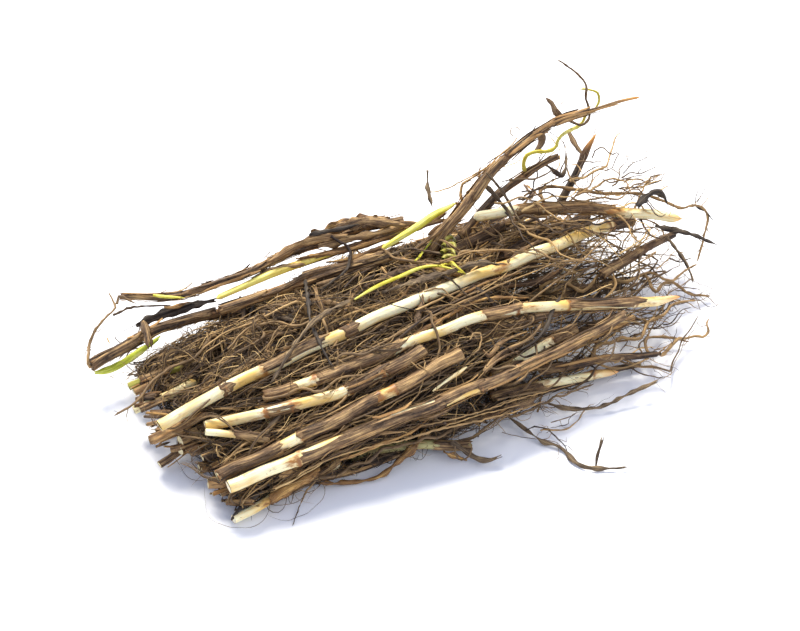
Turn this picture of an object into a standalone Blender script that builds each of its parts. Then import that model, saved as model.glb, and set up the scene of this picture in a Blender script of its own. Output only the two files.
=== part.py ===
"""Couch grass rhizomes matted together by their own roots, in metres, +Z up.

Each strand is a route of (column, row) points read off the picture, with a height in millimetres
where it leaves the surface of the heap. A camera at the picture's angle turns the routes into places,
strands of different nodes are pushed clear of each other, and each node is swept and united with the
roots that grow from it.
"""
import math
import random

import bmesh
import bpy
import numpy as np
from mathutils.kdtree import KDTree

# Driving dimensions, in millimetres unless the name says otherwise.
MM = 0.001
STEP = 2.0
NODE_GAP = 0.5
SAME_NODE_GAP = 0.2
LEAST_GAP = 0.22
LEAST_RADIUS = 0.3
RHIZOME_TOLERANCE = 0.25
ROOT_TOLERANCE = 0.5
SINK = 0.2
JOINT_SWELL = 0.12
JOINT_LENGTH = 1.3
SHEATH_THICKNESS = 0.14
EDGE_LENGTH = 0.5
LEAF_THICKNESS = 0.7
ROOT_D = 1.0
FLOOR_SLAB = 40.0

# The camera of the picture.
AZIMUTH = math.radians(-32.0)
ELEVATION = math.radians(42.0)
DISTANCE = 350.0
PIXELS_PER_MM = 4.8
PICTURE_CENTRE = (400.0, 315.5)
TARGET = np.array([0.0, 0.0, 10.0])
# From the camera's frame to the part's, whose origin is on the ground under the middle of its box.
FRAME_SHIFT = np.array([-5.4, 9.2, 0.0])

# The heap that most strands lie on: stations along X, then its height, half width and middle.
HEAP_X = (-60.0, -25.0, 0.0, 30.0, 60.0)
HEAP_HEIGHT = (11.0, 18.0, 21.0, 19.0, 13.0)
HEAP_HALF_WIDTH = (24.0, 28.0, 31.0, 30.0, 24.0)
HEAP_MIDDLE = (-2.0, -4.0, -6.0, -9.0, -12.0)
HEAP_TOP = 34.0

CREAM = (0.85, 0.76, 0.44)
OLIVE = (0.46, 0.42, 0.20)
BROWN = (0.30, 0.20, 0.11)
DARK = (0.12, 0.09, 0.06)
TAN = (0.45, 0.30, 0.14)
YELLOW = (0.75, 0.68, 0.12)
GREEN = (0.50, 0.58, 0.10)
GREY = (0.20, 0.19, 0.15)

# Rhizomes and shoots that lie in view. The columns in joints and sheaths say where the rings and the
# sheath edges are. A tip is the length over which the end tapers to a point.
RHIZOMES = {
    "long_pale_rhizome": dict(
        d=2.4, colour=CREAM, joints=(226, 350, 425, 498, 606), sheaths=((262, 323), (610, 634)),
        route=((158, 427), (190, 409), (226, 388), (265, 367), (321, 345), (350, 329), (388, 312),
               (425, 296), (460, 282), (498, 269), (540, 252), (575, 238), (608, 223), (633, 219))),
    "short_pale_rhizome": dict(
        d=2.3, colour=CREAM, joints=(292, 381), sheaths=((268, 294), (348, 381)),
        route=((203, 427), (235, 420), (266, 411), (292, 406), (330, 400), (358, 392), (372, 380),
               (390, 368), (410, 357), (425, 348))),
    "upper_brown_rhizome": dict(
        d=2.2, colour=BROWN, tip=6.0, joints=(400, 517, 635),
        sheaths=((262, 295), (316, 399), (484, 517), (568, 634)),
        route=((262, 398), (290, 392), (313, 383), (350, 368), (399, 347), (440, 330), (482, 312),
               (500, 306), (556, 306), (600, 305), (634, 304), (660, 303), (682, 297))),
    "thick_brown_rhizome": dict(
        d=2.7, colour=BROWN, joints=(298, 389, 520), sheaths=((299, 440), (479, 626)),
        route=((227, 487), (262, 474), (298, 459), (340, 441), (389, 420), (439, 404), (479, 389),
               (520, 371), (560, 352), (600, 328), (626, 313))),
    "second_brown_rhizome": dict(
        d=2.4, colour=BROWN, joints=(277, 378), sheaths=((216, 279), (300, 377), (395, 463)),
        route=((216, 478), (250, 463), (277, 449), (300, 439), (330, 424), (361, 409), (378, 400),
               (404, 384), (430, 371), (463, 353))),
    "low_front_rhizome": dict(
        d=1.9, colour=BROWN, joints=(272,), sheaths=((272, 340),),
        route=((234, 519, 1.6), (250, 510, 2), (272, 501, 2.5), (292, 488, 3), (310, 477, 3.5),
               (340, 462, 4.5))),
    "olive_front_rhizome": dict(
        d=1.9, colour=OLIVE, joints=(435,), sheaths=((435, 476),),
        route=((345, 462, 2), (374, 450, 2.5), (400, 447, 2.5), (435, 441, 2.5), (460, 444, 2),
               (476, 446, 2))),
    "left_stub": dict(
        d=1.6, colour=BROWN, joints=(), sheaths=(),
        route=((157, 467, 2), (176, 452, 3), (195, 437, 4.5), (225, 420, 6), (255, 407, 7))),
    "left_upper_piece": dict(
        d=2.1, colour=BROWN, joints=(185,), sheaths=(),
        route=((150, 441, 7), (170, 433, 8.5), (188, 427, 9.5), (208, 413, 11))),
    "left_cut_end": dict(
        d=1.9, colour=CREAM, joints=(), sheaths=(),
        route=((134, 410, 6), (150, 401, 7), (170, 392, 8), (196, 381, 8.5))),
    "left_green_cut_end": dict(
        d=1.7, colour=GREEN, joints=(), sheaths=(),
        route=((129, 387, 5), (143, 383, 6), (160, 376, 7), (184, 366, 8))),
    "thin_pale_rhizome": dict(
        d=1.5, colour=CREAM, joints=(), sheaths=(),
        route=((207, 431), (230, 430), (252, 431), (270, 440))),
    "lower_pale_rhizome": dict(
        d=1.8, colour=CREAM, joints=(592,), sheaths=((488, 540),), tip=3.0,
        route=((488, 398, 3.5), (510, 392, 3.2), (527, 387, 3), (560, 381, 2.8), (592, 375, 2.6),
               (621, 371, 2.4))),
    "hairy_root": dict(
        d=2.4, colour=BROWN, joints=(), sheaths=(),
        route=((535, 372, 5), (555, 366, 5), (580, 362, 5), (604, 358, 5), (633, 353, 4.5),
               (661, 353, 4.5))),
    "short_cream_piece": dict(
        d=1.8, colour=CREAM, joints=(551,), sheaths=((490, 516), (551, 575)),
        route=((490, 378, 8), (516, 362, 9), (535, 350, 10), (551, 339, 10), (575, 327, 10))),
    "right_pale_rhizome": dict(
        d=2.2, colour=CREAM, joints=(543, 609), sheaths=((517, 609),), tip=1.5,
        route=((470, 218, 20), (500, 211, 20), (517, 208, 20), (543, 204, 19.5), (575, 207, 19),
               (609, 210, 18), (645, 214, 17), (683, 219, 16))),
    "right_brown_rhizome": dict(
        d=2.2, colour=BROWN, joints=(), sheaths=(),
        route=((440, 255, 16), (455, 250, 16), (480, 238, 16), (507, 224, 16), (524, 216, 15))),
    "broad_sheath_piece": dict(
        d=2.8, colour=BROWN, joints=(), sheaths=(),
        route=((500, 258, 15), (514, 249, 15), (540, 236, 15), (565, 224, 14), (588, 218, 13))),
    "right_stub": dict(
        d=2.2, colour=BROWN, joints=(643,), sheaths=(),
        route=((600, 276, 11), (624, 262, 11), (643, 248, 11), (660, 240, 10.5), (676, 233, 10))),
    "back_brown_rhizome": dict(
        d=1.8, colour=BROWN, joints=(190, 300), sheaths=(),
        route=((117, 297, 12), (133, 303, 12), (167, 303, 13), (190, 298, 14), (207, 292, 15),
               (244, 278, 16), (270, 262, 17), (300, 246, 18), (330, 238, 18), (359, 227, 19),
               (385, 222, 19), (406, 220, 20))),
    "back_yellow_rhizome": dict(
        d=1.4, colour=YELLOW, joints=(299,), sheaths=((299, 415),),
        route=((213, 300, 13), (240, 287, 14), (255, 281, 15), (280, 268, 16), (299, 260, 17),
               (325, 256, 17.5), (347, 250, 18), (370, 242, 18), (392, 236, 18.5), (415, 228, 19))),
    "back_tan_rhizome": dict(
        d=2.2, colour=TAN, joints=(300,), sheaths=(),
        route=((215, 312, 11), (240, 304, 12), (262, 296, 13), (280, 288, 14), (300, 280, 15),
               (330, 272, 16), (360, 264, 17), (390, 256, 17.5))),
    "left_arm": dict(
        d=2.4, colour=BROWN, joints=(146, 213), sheaths=(),
        route=((88, 368, 8), (100, 357, 8.5), (125, 344, 10), (146, 333, 11), (180, 318, 12),
               (213, 304, 12), (232, 303, 11), (250, 312, 9))),
    "big_shoot": dict(
        d=2.4, colour=BROWN, joints=(463, 502), sheaths=((424, 470), (555, 585)), tip=42.0,
        route=((424, 262, 14), (441, 238, 18), (451, 224, 20), (463, 210, 23), (475, 189, 26),
               (490, 171, 29), (502, 154, 32), (514, 141, 34), (533, 126, 36), (555, 118, 38),
               (575, 112, 39), (596, 107, 40), (620, 100, 41), (643, 96, 42))),
    "second_shoot": dict(
        d=1.9, colour=BROWN, joints=(522,), sheaths=(),
        route=((455, 244, 14), (476, 218, 18), (492, 197, 22), (508, 179, 25), (522, 165, 27),
               (545, 161, 28), (563, 155, 29))),
    "yellow_shoot": dict(
        d=1.5, colour=YELLOW, joints=(), sheaths=(),
        route=((382, 250, 19), (406, 233, 20.5), (420, 221, 21.5), (441, 208, 23), (460, 202, 24))),
    "dark_upright_shoot": dict(
        d=2.3, colour=DARK, joints=(584,), sheaths=(), tip=4.0,
        route=((558, 208, 12), (566, 193, 16), (575, 175, 19), (586, 155, 23), (592, 143, 25),
               (596, 134, 27))),
}

# Rhizomes that the picture hides: offset from the heap's middle, height, and the stretch along X.
# Those at FOOT lie on the ground and carry the rest.
FOOT = 1.15
HIDDEN = (
    (-20.0, FOOT, -44.0, 40.0), (-7.0, FOOT, -52.0, 47.0), (7.0, FOOT, -50.0, 44.0),
    (22.0, FOOT, -42.0, 38.0), (-14.0, 6.0, -46.0, 44.0), (-1.0, 6.2, -54.0, 50.0),
    (15.0, 6.0, -47.0, 38.0), (-8.0, 11.0, -38.0, 36.0), (8.0, 11.0, -38.0, 34.0),
    (29.0, FOOT, -30.0, 40.0), (35.0, FOOT, -6.0, 44.0),
)
HIDDEN_D = 2.4

# Leaves and sheath scraps: half width, colour, route.
LEAVES = {
    "left_green_sheath": (1.1, GREEN, (
        (91, 372, 6.5), (98, 373, 6.8), (120, 363, 8), (140, 352, 9.5), (158, 340, 10.5))),
    "dark_strip": (0.9, DARK, (
        (136, 324, 12), (150, 318, 12.5), (170, 311, 13), (198, 301, 13.5))),
    "yellow_scale": (0.8, YELLOW, ((153, 295, 15), (160, 298, 14.6), (168, 300, 14.8), (180, 298, 15.4))),
    "crumpled_top_leaf": (1.5, TAN, (
        (309, 235, 21), (330, 232, 21), (345, 224, 22), (370, 219, 22), (386, 216, 22))),
    "tan_strap_leaf": (1.0, TAN, (
        (318, 482, 3), (335, 485, 1.5), (353, 484, 1), (376, 479, 1), (404, 456, 3), (419, 443, 5),
        (428, 425, 7))),
    "folded_front_leaf": (1.1, GREY, (
        (450, 441, 4), (460, 446, 3.5), (470, 456, 2), (479, 464, 1.2), (488, 466, 1), (498, 457, 2.5))),
    "brown_front_scrap": (0.9, TAN, ((443, 452, 3.5), (452, 458, 2.5), (462, 458, 2))),
    "right_ground_leaf": (0.6, GREY, (
        (545, 402, 3), (556, 407, 2), (575, 411, 1), (590, 407, 1.5), (605, 412, 1), (613, 402, 2),
        (635, 391, 3), (657, 381, 4))),
    "far_ground_leaf": (0.7, GREY, (
        (505, 415, 3), (512, 419, 2.5), (530, 431, 1.5), (544, 445, 1), (560, 441, 1), (568, 455, 0.8),
        (577, 468, 0.8), (593, 469, 0.8), (624, 468, 0.8))),
    "first_dark_leaf": (0.6, DARK, ((305, 278), (307, 300), (310, 322), (322, 350), (333, 368))),
    "second_dark_leaf": (0.6, DARK, ((350, 255), (347, 270), (340, 277), (322, 290))),
    "third_dark_leaf": (0.9, GREY, (
        (353, 298), (335, 306), (320, 316), (305, 333), (295, 347), (285, 362), (272, 382))),
    "wrinkled_leaf": (1.2, GREY, (
        (380, 293), (400, 284), (425, 277), (448, 273), (466, 268), (478, 263), (502, 264))),
    "yellow_leaf": (0.7, YELLOW, ((352, 300), (375, 287), (400, 276), (420, 268), (440, 264), (461, 270))),
    "upper_grey_leaf": (0.5, GREY, (
        (486, 172, 30), (494, 181, 28), (505, 196, 25), (514, 212, 22), (524, 228, 20))),
    "folded_dark_leaf": (1.1, DARK, (
        (637, 206, 20), (648, 195, 21), (658, 184, 22), (669, 191, 21), (667, 202, 19))),
    "far_right_leaf": (0.7, DARK, ((655, 226, 13), (680, 232, 13), (696, 234, 13), (710, 242, 12))),
    "hanging_leaf": (0.7, GREY, (
        (664, 236, 11), (672, 244, 10), (680, 256, 8), (691, 268, 5), (694, 280, 2))),
    "small_upright_leaf": (0.6, GREY, ((428, 170, 27), (427, 182, 25), (428, 195, 23), (433, 207, 22))),
}
LEAF_LIFT = 2.2

# Long bare roots: diameter, lift over the heap, route from the end that grows out of a rhizome.
BARE_ROOTS = (
    (1.1, 0, ((540, 190, 20), (575, 189, 20), (600, 192, 19), (643, 194, 17), (666, 202, 16),
              (681, 208, 15), (695, 205, 15), (704, 209, 14), (702, 240, 9), (697, 262, 5))),
    (1.1, 0, ((540, 286, 11), (567, 284, 10), (577, 290, 9), (597, 279, 9), (626, 278, 8),
              (655, 276, 7), (667, 279, 6.5), (697, 264, 6))),
    (1.1, 0, ((655, 292, 7), (664, 283, 6), (672, 282, 5), (689, 292, 3), (712, 297, 1.2))),
    (1.1, 0, ((585, 364, 5), (601, 348, 5), (621, 341, 5), (639, 337, 5), (654, 320, 5.5),
              (664, 313, 6), (679, 301, 6), (699, 299, 6))),
    (1.0, 0, ((648, 352, 4), (645, 340, 4), (665, 337, 3), (690, 342, 1.5))),
    (1.0, 0, ((660, 355, 4), (679, 341, 3), (694, 337, 2.5), (708, 334, 2.5), (706, 326, 3),
              (710, 318, 3))),
    (0.8, 2, ((400, 260), (436, 263), (471, 252), (510, 250), (536, 252), (560, 259), (600, 262))),
    (0.9, 0, ((318, 478, 4), (360, 463, 5), (383, 450, 6), (440, 433, 7), (470, 420, 7),
              (520, 413, 6), (560, 396, 5), (596, 383, 4))),
    (1.0, 0, ((213, 335, 13), (193, 358, 12), (173, 367, 12), (149, 385, 11), (137, 402, 10),
              (114, 416, 8))),
    (0.8, 1, ((301, 302), (266, 315), (250, 323), (227, 331), (202, 349))),
    (0.8, 1, ((263, 337), (247, 346), (230, 356))),
    (0.8, 1, ((320, 316), (306, 321), (272, 324), (246, 330), (226, 349))),
    (0.8, 1, ((262, 398), (280, 395), (300, 390), (322, 390), (340, 381), (372, 373))),
    (0.8, 2, ((337, 357), (349, 354), (360, 355), (383, 345), (399, 343))),
    (0.9, 0, ((88, 366, 9), (90, 345, 11), (97, 330, 13), (107, 316, 15), (115, 306, 16),
              (113, 297, 17), (109, 290, 18))),
    (1.2, 0, ((522, 163, 28), (551, 148, 31), (571, 132, 34), (588, 115, 37), (600, 99, 40),
              (597, 90, 42), (580, 89, 42))),
    (0.9, 0, ((560, 116, 37), (584, 125, 36), (589, 120, 37), (588, 99, 41), (582, 79, 45),
              (569, 66, 47), (557, 58, 49))),
    (2.0, 0, ((558, 116, 37.5), (554, 106, 39.5), (546, 98, 41))),
    (0.9, 0, ((462, 205, 22), (461, 186, 25), (475, 176, 27), (486, 167, 28))),
)

# Fibrous roots: how many grow from each rhizome, and how far they run.
ROOTS_PER_RHIZOME = 4
ROOT_LENGTH = (14.0, 32.0)
ROOT_SEED = 11
HEAP_ENDS = (-56.0, 58.0)
SHOOT_CLEARANCE = 3.0
SHARPEST_TURN = 0.8

# How often the rhizomes are straightened once they are clear of each other, and how much.
STRAIGHTENINGS = 3
STRAIGHTENING_ROUNDS = 12

BACK = np.array([math.sin(AZIMUTH) * math.cos(ELEVATION),
                 -math.cos(AZIMUTH) * math.cos(ELEVATION), math.sin(ELEVATION)])
RIGHT = np.array([math.cos(AZIMUTH), math.sin(AZIMUTH), 0.0])
UP = np.cross(BACK, RIGHT)
EYE = TARGET + DISTANCE * BACK
FOCAL = PIXELS_PER_MM * DISTANCE


def spot(column, row, height):
    """The place at a height that the camera sees at a point of the picture."""
    ray = RIGHT * (column - PICTURE_CENTRE[0]) / FOCAL - UP * (row - PICTURE_CENTRE[1]) / FOCAL - BACK
    return EYE + ray * (height - EYE[2]) / ray[2]


def column_of(point):
    """The column at which the camera sees a place."""
    offset = point - EYE
    return PICTURE_CENTRE[0] - FOCAL * (offset @ RIGHT) / (offset @ BACK)


def heap(x, y):
    """Height of the heap's surface."""
    height = np.interp(x, HEAP_X, HEAP_HEIGHT)
    across = (y - np.interp(x, HEAP_X, HEAP_MIDDLE)) / np.interp(x, HEAP_X, HEAP_HALF_WIDTH)
    return height * math.sqrt(max(0.0, 1.0 - across * across))


def on_heap(column, row, lift, radius):
    """The first place on the line of sight that is down at the heap's surface."""
    height = HEAP_TOP
    place = spot(column, row, height)
    while height > radius and height > heap(place[0], place[1]) + lift:
        height -= 0.1
        place = spot(column, row, height)
    return place


def places(route, lift, radius):
    """A route of the picture as places in millimetres."""
    return np.array([spot(*p) if len(p) == 3 else on_heap(*p, lift, radius) for p in route])


def smooth(points, step):
    """Points at even steps along a smooth curve through the given ones."""
    along = np.concatenate([[0.0], np.cumsum(np.linalg.norm(np.diff(points, axis=0), axis=1))])
    slope = np.gradient(points, along, axis=0)
    fine = []
    for i in range(len(points) - 1):
        span = along[i + 1] - along[i]
        for t in np.linspace(0.0, 1.0, 12, endpoint=False):
            ease = 3 * t ** 2 - 2 * t ** 3
            bulge = span * ((t ** 3 - 2 * t ** 2 + t) * slope[i] + (t ** 3 - t ** 2) * slope[i + 1])
            fine.append((1 - ease) * points[i] + ease * points[i + 1] + bulge)
    fine.append(points[-1])
    fine = np.array(fine)
    run = np.concatenate([[0.0], np.cumsum(np.linalg.norm(np.diff(fine, axis=0), axis=1))])
    stops = np.linspace(0.0, run[-1], max(3, round(run[-1] / step)) + 1)
    return np.stack([np.interp(stops, run, fine[:, k]) for k in range(3)], axis=1)


class Strand:
    """A chain of points with a radius at each, swept later into a tube or a flat blade."""

    def __init__(self, node, points, radii, sides, hold, blade=False, stem=None, at=0):
        self.node = node
        self.points = points
        self.radii = radii
        self.sides = sides
        self.hold = hold
        self.blade = blade
        self.stem = stem
        self.at = at
        self.joints = ()
        self.sheaths = ()
        self.forks = []


def rhizome_strand(name, spec):
    """A rhizome or shoot, with its rings, sheath edges and taper."""
    radius = spec["d"] / 2
    points = smooth(places(spec["route"], 0.0, radius), STEP)
    strand = Strand(name, points, np.full(len(points), radius), 7, hold=(0.12, 0.01))
    strand.joints = spec["joints"]
    strand.sheaths = spec["sheaths"]
    run = np.linalg.norm(np.diff(points, axis=0), axis=1)
    to_end = np.concatenate([np.cumsum(run[::-1])[::-1], [0.0]])
    if "tip" in spec:
        strand.radii = radius * np.clip(0.25 + 0.75 * to_end / spec["tip"], 0.25, 1.0)
    return strand


def hidden_strand(number, offset, height, x_from, x_to):
    """A rhizome inside the heap, nearly straight."""
    stops = np.linspace(x_from, x_to, 9)
    sway = 1.3 * np.sin(0.11 * stops + 2.1 * number)
    rise = 0.0 if height == FOOT else 0.9
    middle = np.interp(stops, HEAP_X, HEAP_MIDDLE)
    route = [(x, m + offset + s, height + rise * math.sin(0.09 * x + number))
             for x, m, s in zip(stops, middle, sway)]
    points = smooth(np.array(route), STEP)
    name = f"hidden_rhizome_{number + 1}"
    return Strand(name, points, np.full(len(points), HIDDEN_D / 2), 6, hold=(0.05, 0.03))


def leaf_strand(name, half_width, route):
    """A leaf, narrowing at both ends."""
    points = smooth(places(route, LEAF_LIFT, 1.0), STEP)
    share = np.linspace(0.0, 1.0, len(points))
    radii = half_width * np.clip(0.45 + 3.0 * np.minimum(share, 1.0 - share), 0.45, 1.0)
    return Strand(name, points, radii, 6, hold=(0.08, 0.01), blade=True)


def nearest(strands, point):
    """The strand and the index of its point that lie nearest a place."""
    found = [(np.linalg.norm(s.points - point, axis=1).min(), k) for k, s in enumerate(strands)]
    strand = strands[min(found)[1]]
    return strand, int(np.linalg.norm(strand.points - point, axis=1).argmin())


def bare_root_strand(strands, diameter, lift, route):
    """A long root, grown from the rhizome that it starts beside."""
    line = places(route, lift, diameter / 2)
    stem, at = nearest(strands, line[0])
    points = smooth(np.vstack([stem.points[at], line]), STEP)
    radii = np.linspace(1.0, 0.8, len(points)) * diameter / 2
    if stem.stem:
        stem.forks.append(at)
    return Strand(stem.node, points, radii, 4, hold=(0.06, 0.01), stem=stem, at=at)


def rooting_points(stem):
    """Where on a rhizome roots can grow: away from its ends, and not up a shoot."""
    return [k for k in range(2, len(stem.points) - 2)
            if stem.points[k][2] < heap(stem.points[k][0], stem.points[k][1]) + SHOOT_CLEARANCE]


def fibrous_root_strand(stem, draw):
    """A thin root that wanders through the heap along the rhizomes."""
    at = draw.choice(rooting_points(stem))
    heading = stem.points[at + 1] - stem.points[at]
    heading = heading / np.linalg.norm(heading) * draw.choice((-1.0, 1.0))
    heading = heading + np.array([0.0, draw.choice((-1.3, 1.3)), draw.uniform(-0.6, 0.8)])
    points = [stem.points[at]]
    for _ in range(int(draw.uniform(*ROOT_LENGTH) / STEP)):
        heading = heading / np.linalg.norm(heading)
        points.append(points[-1] + STEP * heading)
        x, y, z = points[-1]
        turn = np.array([draw.gauss(0.12 * heading[0], 0.25), draw.gauss(0.0, 0.25), draw.gauss(0.0, 0.2)])
        if z > heap(x, y):
            turn += (0.0, 0.8 * np.sign(np.interp(x, HEAP_X, HEAP_MIDDLE) - y), -0.5)
        if z < 2.0:
            turn[2] += 0.5
        if not HEAP_ENDS[0] < x < HEAP_ENDS[1]:
            turn[0] -= 0.8 * np.sign(x)
        heading = heading + turn * min(1.0, SHARPEST_TURN / np.linalg.norm(turn))
    radii = np.linspace(1.0, 0.8, len(points)) * ROOT_D / 2
    return Strand(stem.node, np.array(points), radii, 3, hold=(0.01, 0.01), stem=stem, at=at)


def segments(strands):
    """The indices of the first point of each segment, and the strand of each."""
    starts = np.cumsum([0] + [len(s.points) for s in strands])
    first = np.concatenate([np.arange(a, b - 1) for a, b in zip(starts, starts[1:])])
    owner = np.concatenate([np.full(len(s.points) - 1, k) for k, s in enumerate(strands)])
    return starts, first, owner


def near_pairs(points, radius, first, owner, strands, starts, slack):
    """Pairs of segments of different strands that come close, and the gap that each pair keeps."""
    middle = (points[first] + points[first + 1]) / 2
    half = np.linalg.norm(points[first + 1] - points[first], axis=1) / 2
    reach = half + np.maximum(radius[first], radius[first + 1])
    tree = KDTree(len(first))
    for k, m in enumerate(middle):
        tree.insert(m, k)
    tree.balance()
    widest = reach.max()
    pairs = []
    for i in range(len(first)):
        for _, j, distance in tree.find_range(middle[i], reach[i] + widest + slack):
            if j > i and owner[i] != owner[j] and distance < reach[i] + reach[j] + slack:
                a, b = strands[owner[i]], strands[owner[j]]
                at_a, at_b = first[i] - starts[owner[i]], first[j] - starts[owner[j]]
                joined = (a.stem is b and at_a < 2) or (b.stem is a and at_b < 2)
                if not joined:
                    pairs.append((i, j, SAME_NODE_GAP if a.node == b.node else NODE_GAP))
    return np.array(pairs).reshape(-1, 3)


def closest(points, first, i, j):
    """Where along each segment of a pair the two come closest, and the line between."""
    start_i, start_j = points[first[i]], points[first[j]]
    run_i, run_j = points[first[i] + 1] - start_i, points[first[j] + 1] - start_j
    apart = start_i - start_j
    a, e = (run_i * run_i).sum(1), (run_j * run_j).sum(1)
    b, c, f = (run_i * run_j).sum(1), (run_i * apart).sum(1), (run_j * apart).sum(1)
    s = np.clip((b * f - c * e) / np.maximum(a * e - b * b, 1e-6), 0.0, 1.0)
    t = np.clip((b * s + f) / e, 0.0, 1.0)
    s = np.clip((b * t - c) / a, 0.0, 1.0)
    line = apart + run_i * s[:, None] - run_j * t[:, None]
    return s, t, line, np.linalg.norm(line, axis=1)


def relax(strands, moving, rounds):
    """Push the moving strands off the others while they keep their shape and place."""
    starts, first, owner = segments(strands)
    points = np.concatenate([s.points for s in strands])
    radius = np.concatenate([s.radii for s in strands])
    home = points.copy()
    loose = np.concatenate([np.full(len(s.points), 1.0 if s in moving else 0.0) for s in strands])
    hold = np.concatenate([np.tile(s.hold, (len(s.points), 1)) for s in strands])
    length = np.linalg.norm(points[first + 1] - points[first], axis=1)
    inner = np.concatenate([np.arange(a + 1, b - 1) for a, b in zip(starts, starts[1:])])
    bend = points[inner] - (points[inner - 1] + points[inner + 1]) / 2
    glued = [(starts[k], starts[strands.index(s.stem)] + s.at) for k, s in enumerate(strands) if s.stem]
    for turn in range(rounds):
        if turn % 5 == 0:
            pairs = near_pairs(points, radius, first, owner, strands, starts, 1.5)
            i, j, gap = pairs[:, 0].astype(int), pairs[:, 1].astype(int), pairs[:, 2]
        s, t, line, distance = closest(points, first, i, j)
        r_i = radius[first[i]] * (1 - s) + radius[first[i] + 1] * s
        r_j = radius[first[j]] * (1 - t) + radius[first[j] + 1] * t
        depth = np.maximum(0.0, r_i + r_j + gap - distance)
        w_i, w_j = loose[first[i]], loose[first[j]]
        push = line / np.maximum(distance, 1e-4)[:, None] * (depth / np.maximum(w_i + w_j, 1e-6))[:, None]
        move, count = np.zeros_like(points), np.full(len(points), 1e-9)
        for seg, share, sign, weight in ((i, s, 1.0, w_i), (j, t, -1.0, w_j)):
            for end, part in ((0, 1 - share), (1, share)):
                np.add.at(move, first[seg] + end, push * (sign * weight * part * (depth > 0))[:, None])
                np.add.at(count, first[seg] + end, part * (depth > 0) * weight)
        points += 1.4 * move / np.maximum(count, 1.0)[:, None]
        change = bend - (points[inner] - (points[inner - 1] + points[inner + 1]) / 2)
        shift = np.zeros_like(points)
        np.add.at(shift, inner, 0.25 * change)
        np.add.at(shift, inner - 1, -0.12 * change)
        np.add.at(shift, inner + 1, -0.12 * change)
        run = points[first + 1] - points[first]
        now = np.linalg.norm(run, axis=1)
        pull = run * (0.3 * (now - length) / now)[:, None]
        np.add.at(shift, first, pull)
        np.add.at(shift, first + 1, -pull)
        away = home - points
        along = (away @ BACK)[:, None] * BACK
        fade = 1.0 if turn < rounds * 0.6 else 0.1
        shift += fade * (hold[:, :1] * (away - along) + hold[:, 1:] * along)
        points += shift * loose[:, None]
        points[:, 2] = np.maximum(points[:, 2], radius - SINK)
        for child, parent in glued:
            points[child] = points[parent]
    for k, strand in enumerate(strands):
        if strand in moving:
            strand.points = points[starts[k]:starts[k + 1]]


def straighten(strands):
    """Take out the small kinks that pushing has left in the strands."""
    for strand in strands:
        points = strand.points.copy()
        for _ in range(STRAIGHTENING_ROUNDS):
            points[1:-1] = points[1:-1] / 2 + (points[:-2] + points[2:]) / 4
        strand.points = points


def needed_points(points, radii, tolerance):
    """The points that a chain needs so that it strays no further than the tolerance."""
    keep, stack = {0, len(points) - 1}, [(0, len(points) - 1)]
    while stack:
        a, b = stack.pop()
        if b - a > 1:
            chord = points[b] - points[a]
            share = np.clip((points[a + 1:b] - points[a]) @ chord / (chord @ chord), 0.0, 1.0)
            off = np.linalg.norm(points[a + 1:b] - points[a] - share[:, None] * chord, axis=1)
            off = np.maximum(off, np.abs(radii[a + 1:b] - radii[a] - share * (radii[b] - radii[a])))
            worst = int(off.argmax())
            if off[worst] > tolerance:
                keep.add(a + 1 + worst)
                stack += [(a, a + 1 + worst), (a + 1 + worst, b)]
    return sorted(keep)


def thin_out(strand):
    """Keep only the points that the curve needs, and add those of its rings and sheath edges."""
    points, radii = strand.points, strand.radii
    tolerance = ROOT_TOLERANCE if strand.stem else RHIZOME_TOLERANCE
    run = np.concatenate([[0.0], np.cumsum(np.linalg.norm(np.diff(points, axis=0), axis=1))])
    columns = [column_of(p) for p in points]
    joints = np.interp(strand.joints, columns, run) if strand.joints else np.array([])
    sheaths = [np.interp(pair, columns, run) for pair in strand.sheaths]
    edges = np.array([e for pair in sheaths for e in pair])
    edges = edges[(edges > EDGE_LENGTH) & (edges < run[-1] - EDGE_LENGTH)] if len(edges) else edges
    marks = [run[k] for k in strand.forks]
    marks += [j + k * JOINT_LENGTH for j in joints for k in (-1, 0, 1)]
    marks += [e + k * EDGE_LENGTH / 2 for e in edges for k in (-1, 1)]
    bare = [run[k] for k in needed_points(points, radii, tolerance)]
    bare = [b for b in bare if b in (0.0, run[-1]) or all(abs(b - m) > JOINT_LENGTH for m in marks)]
    stops = np.array(sorted(bare + [m for m in marks if 0.0 < m < run[-1]]))
    swell = np.zeros(len(stops))
    for start, end in sheaths:
        swell[(stops > start) & (stops < end)] = SHEATH_THICKNESS
    for joint in joints:
        swell[np.abs(stops - joint) < 0.01] += JOINT_SWELL
    strand.points = np.stack([np.interp(stops, run, points[:, k]) for k in range(3)], axis=1)
    strand.radii = np.interp(stops, run, radii) + swell


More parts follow.
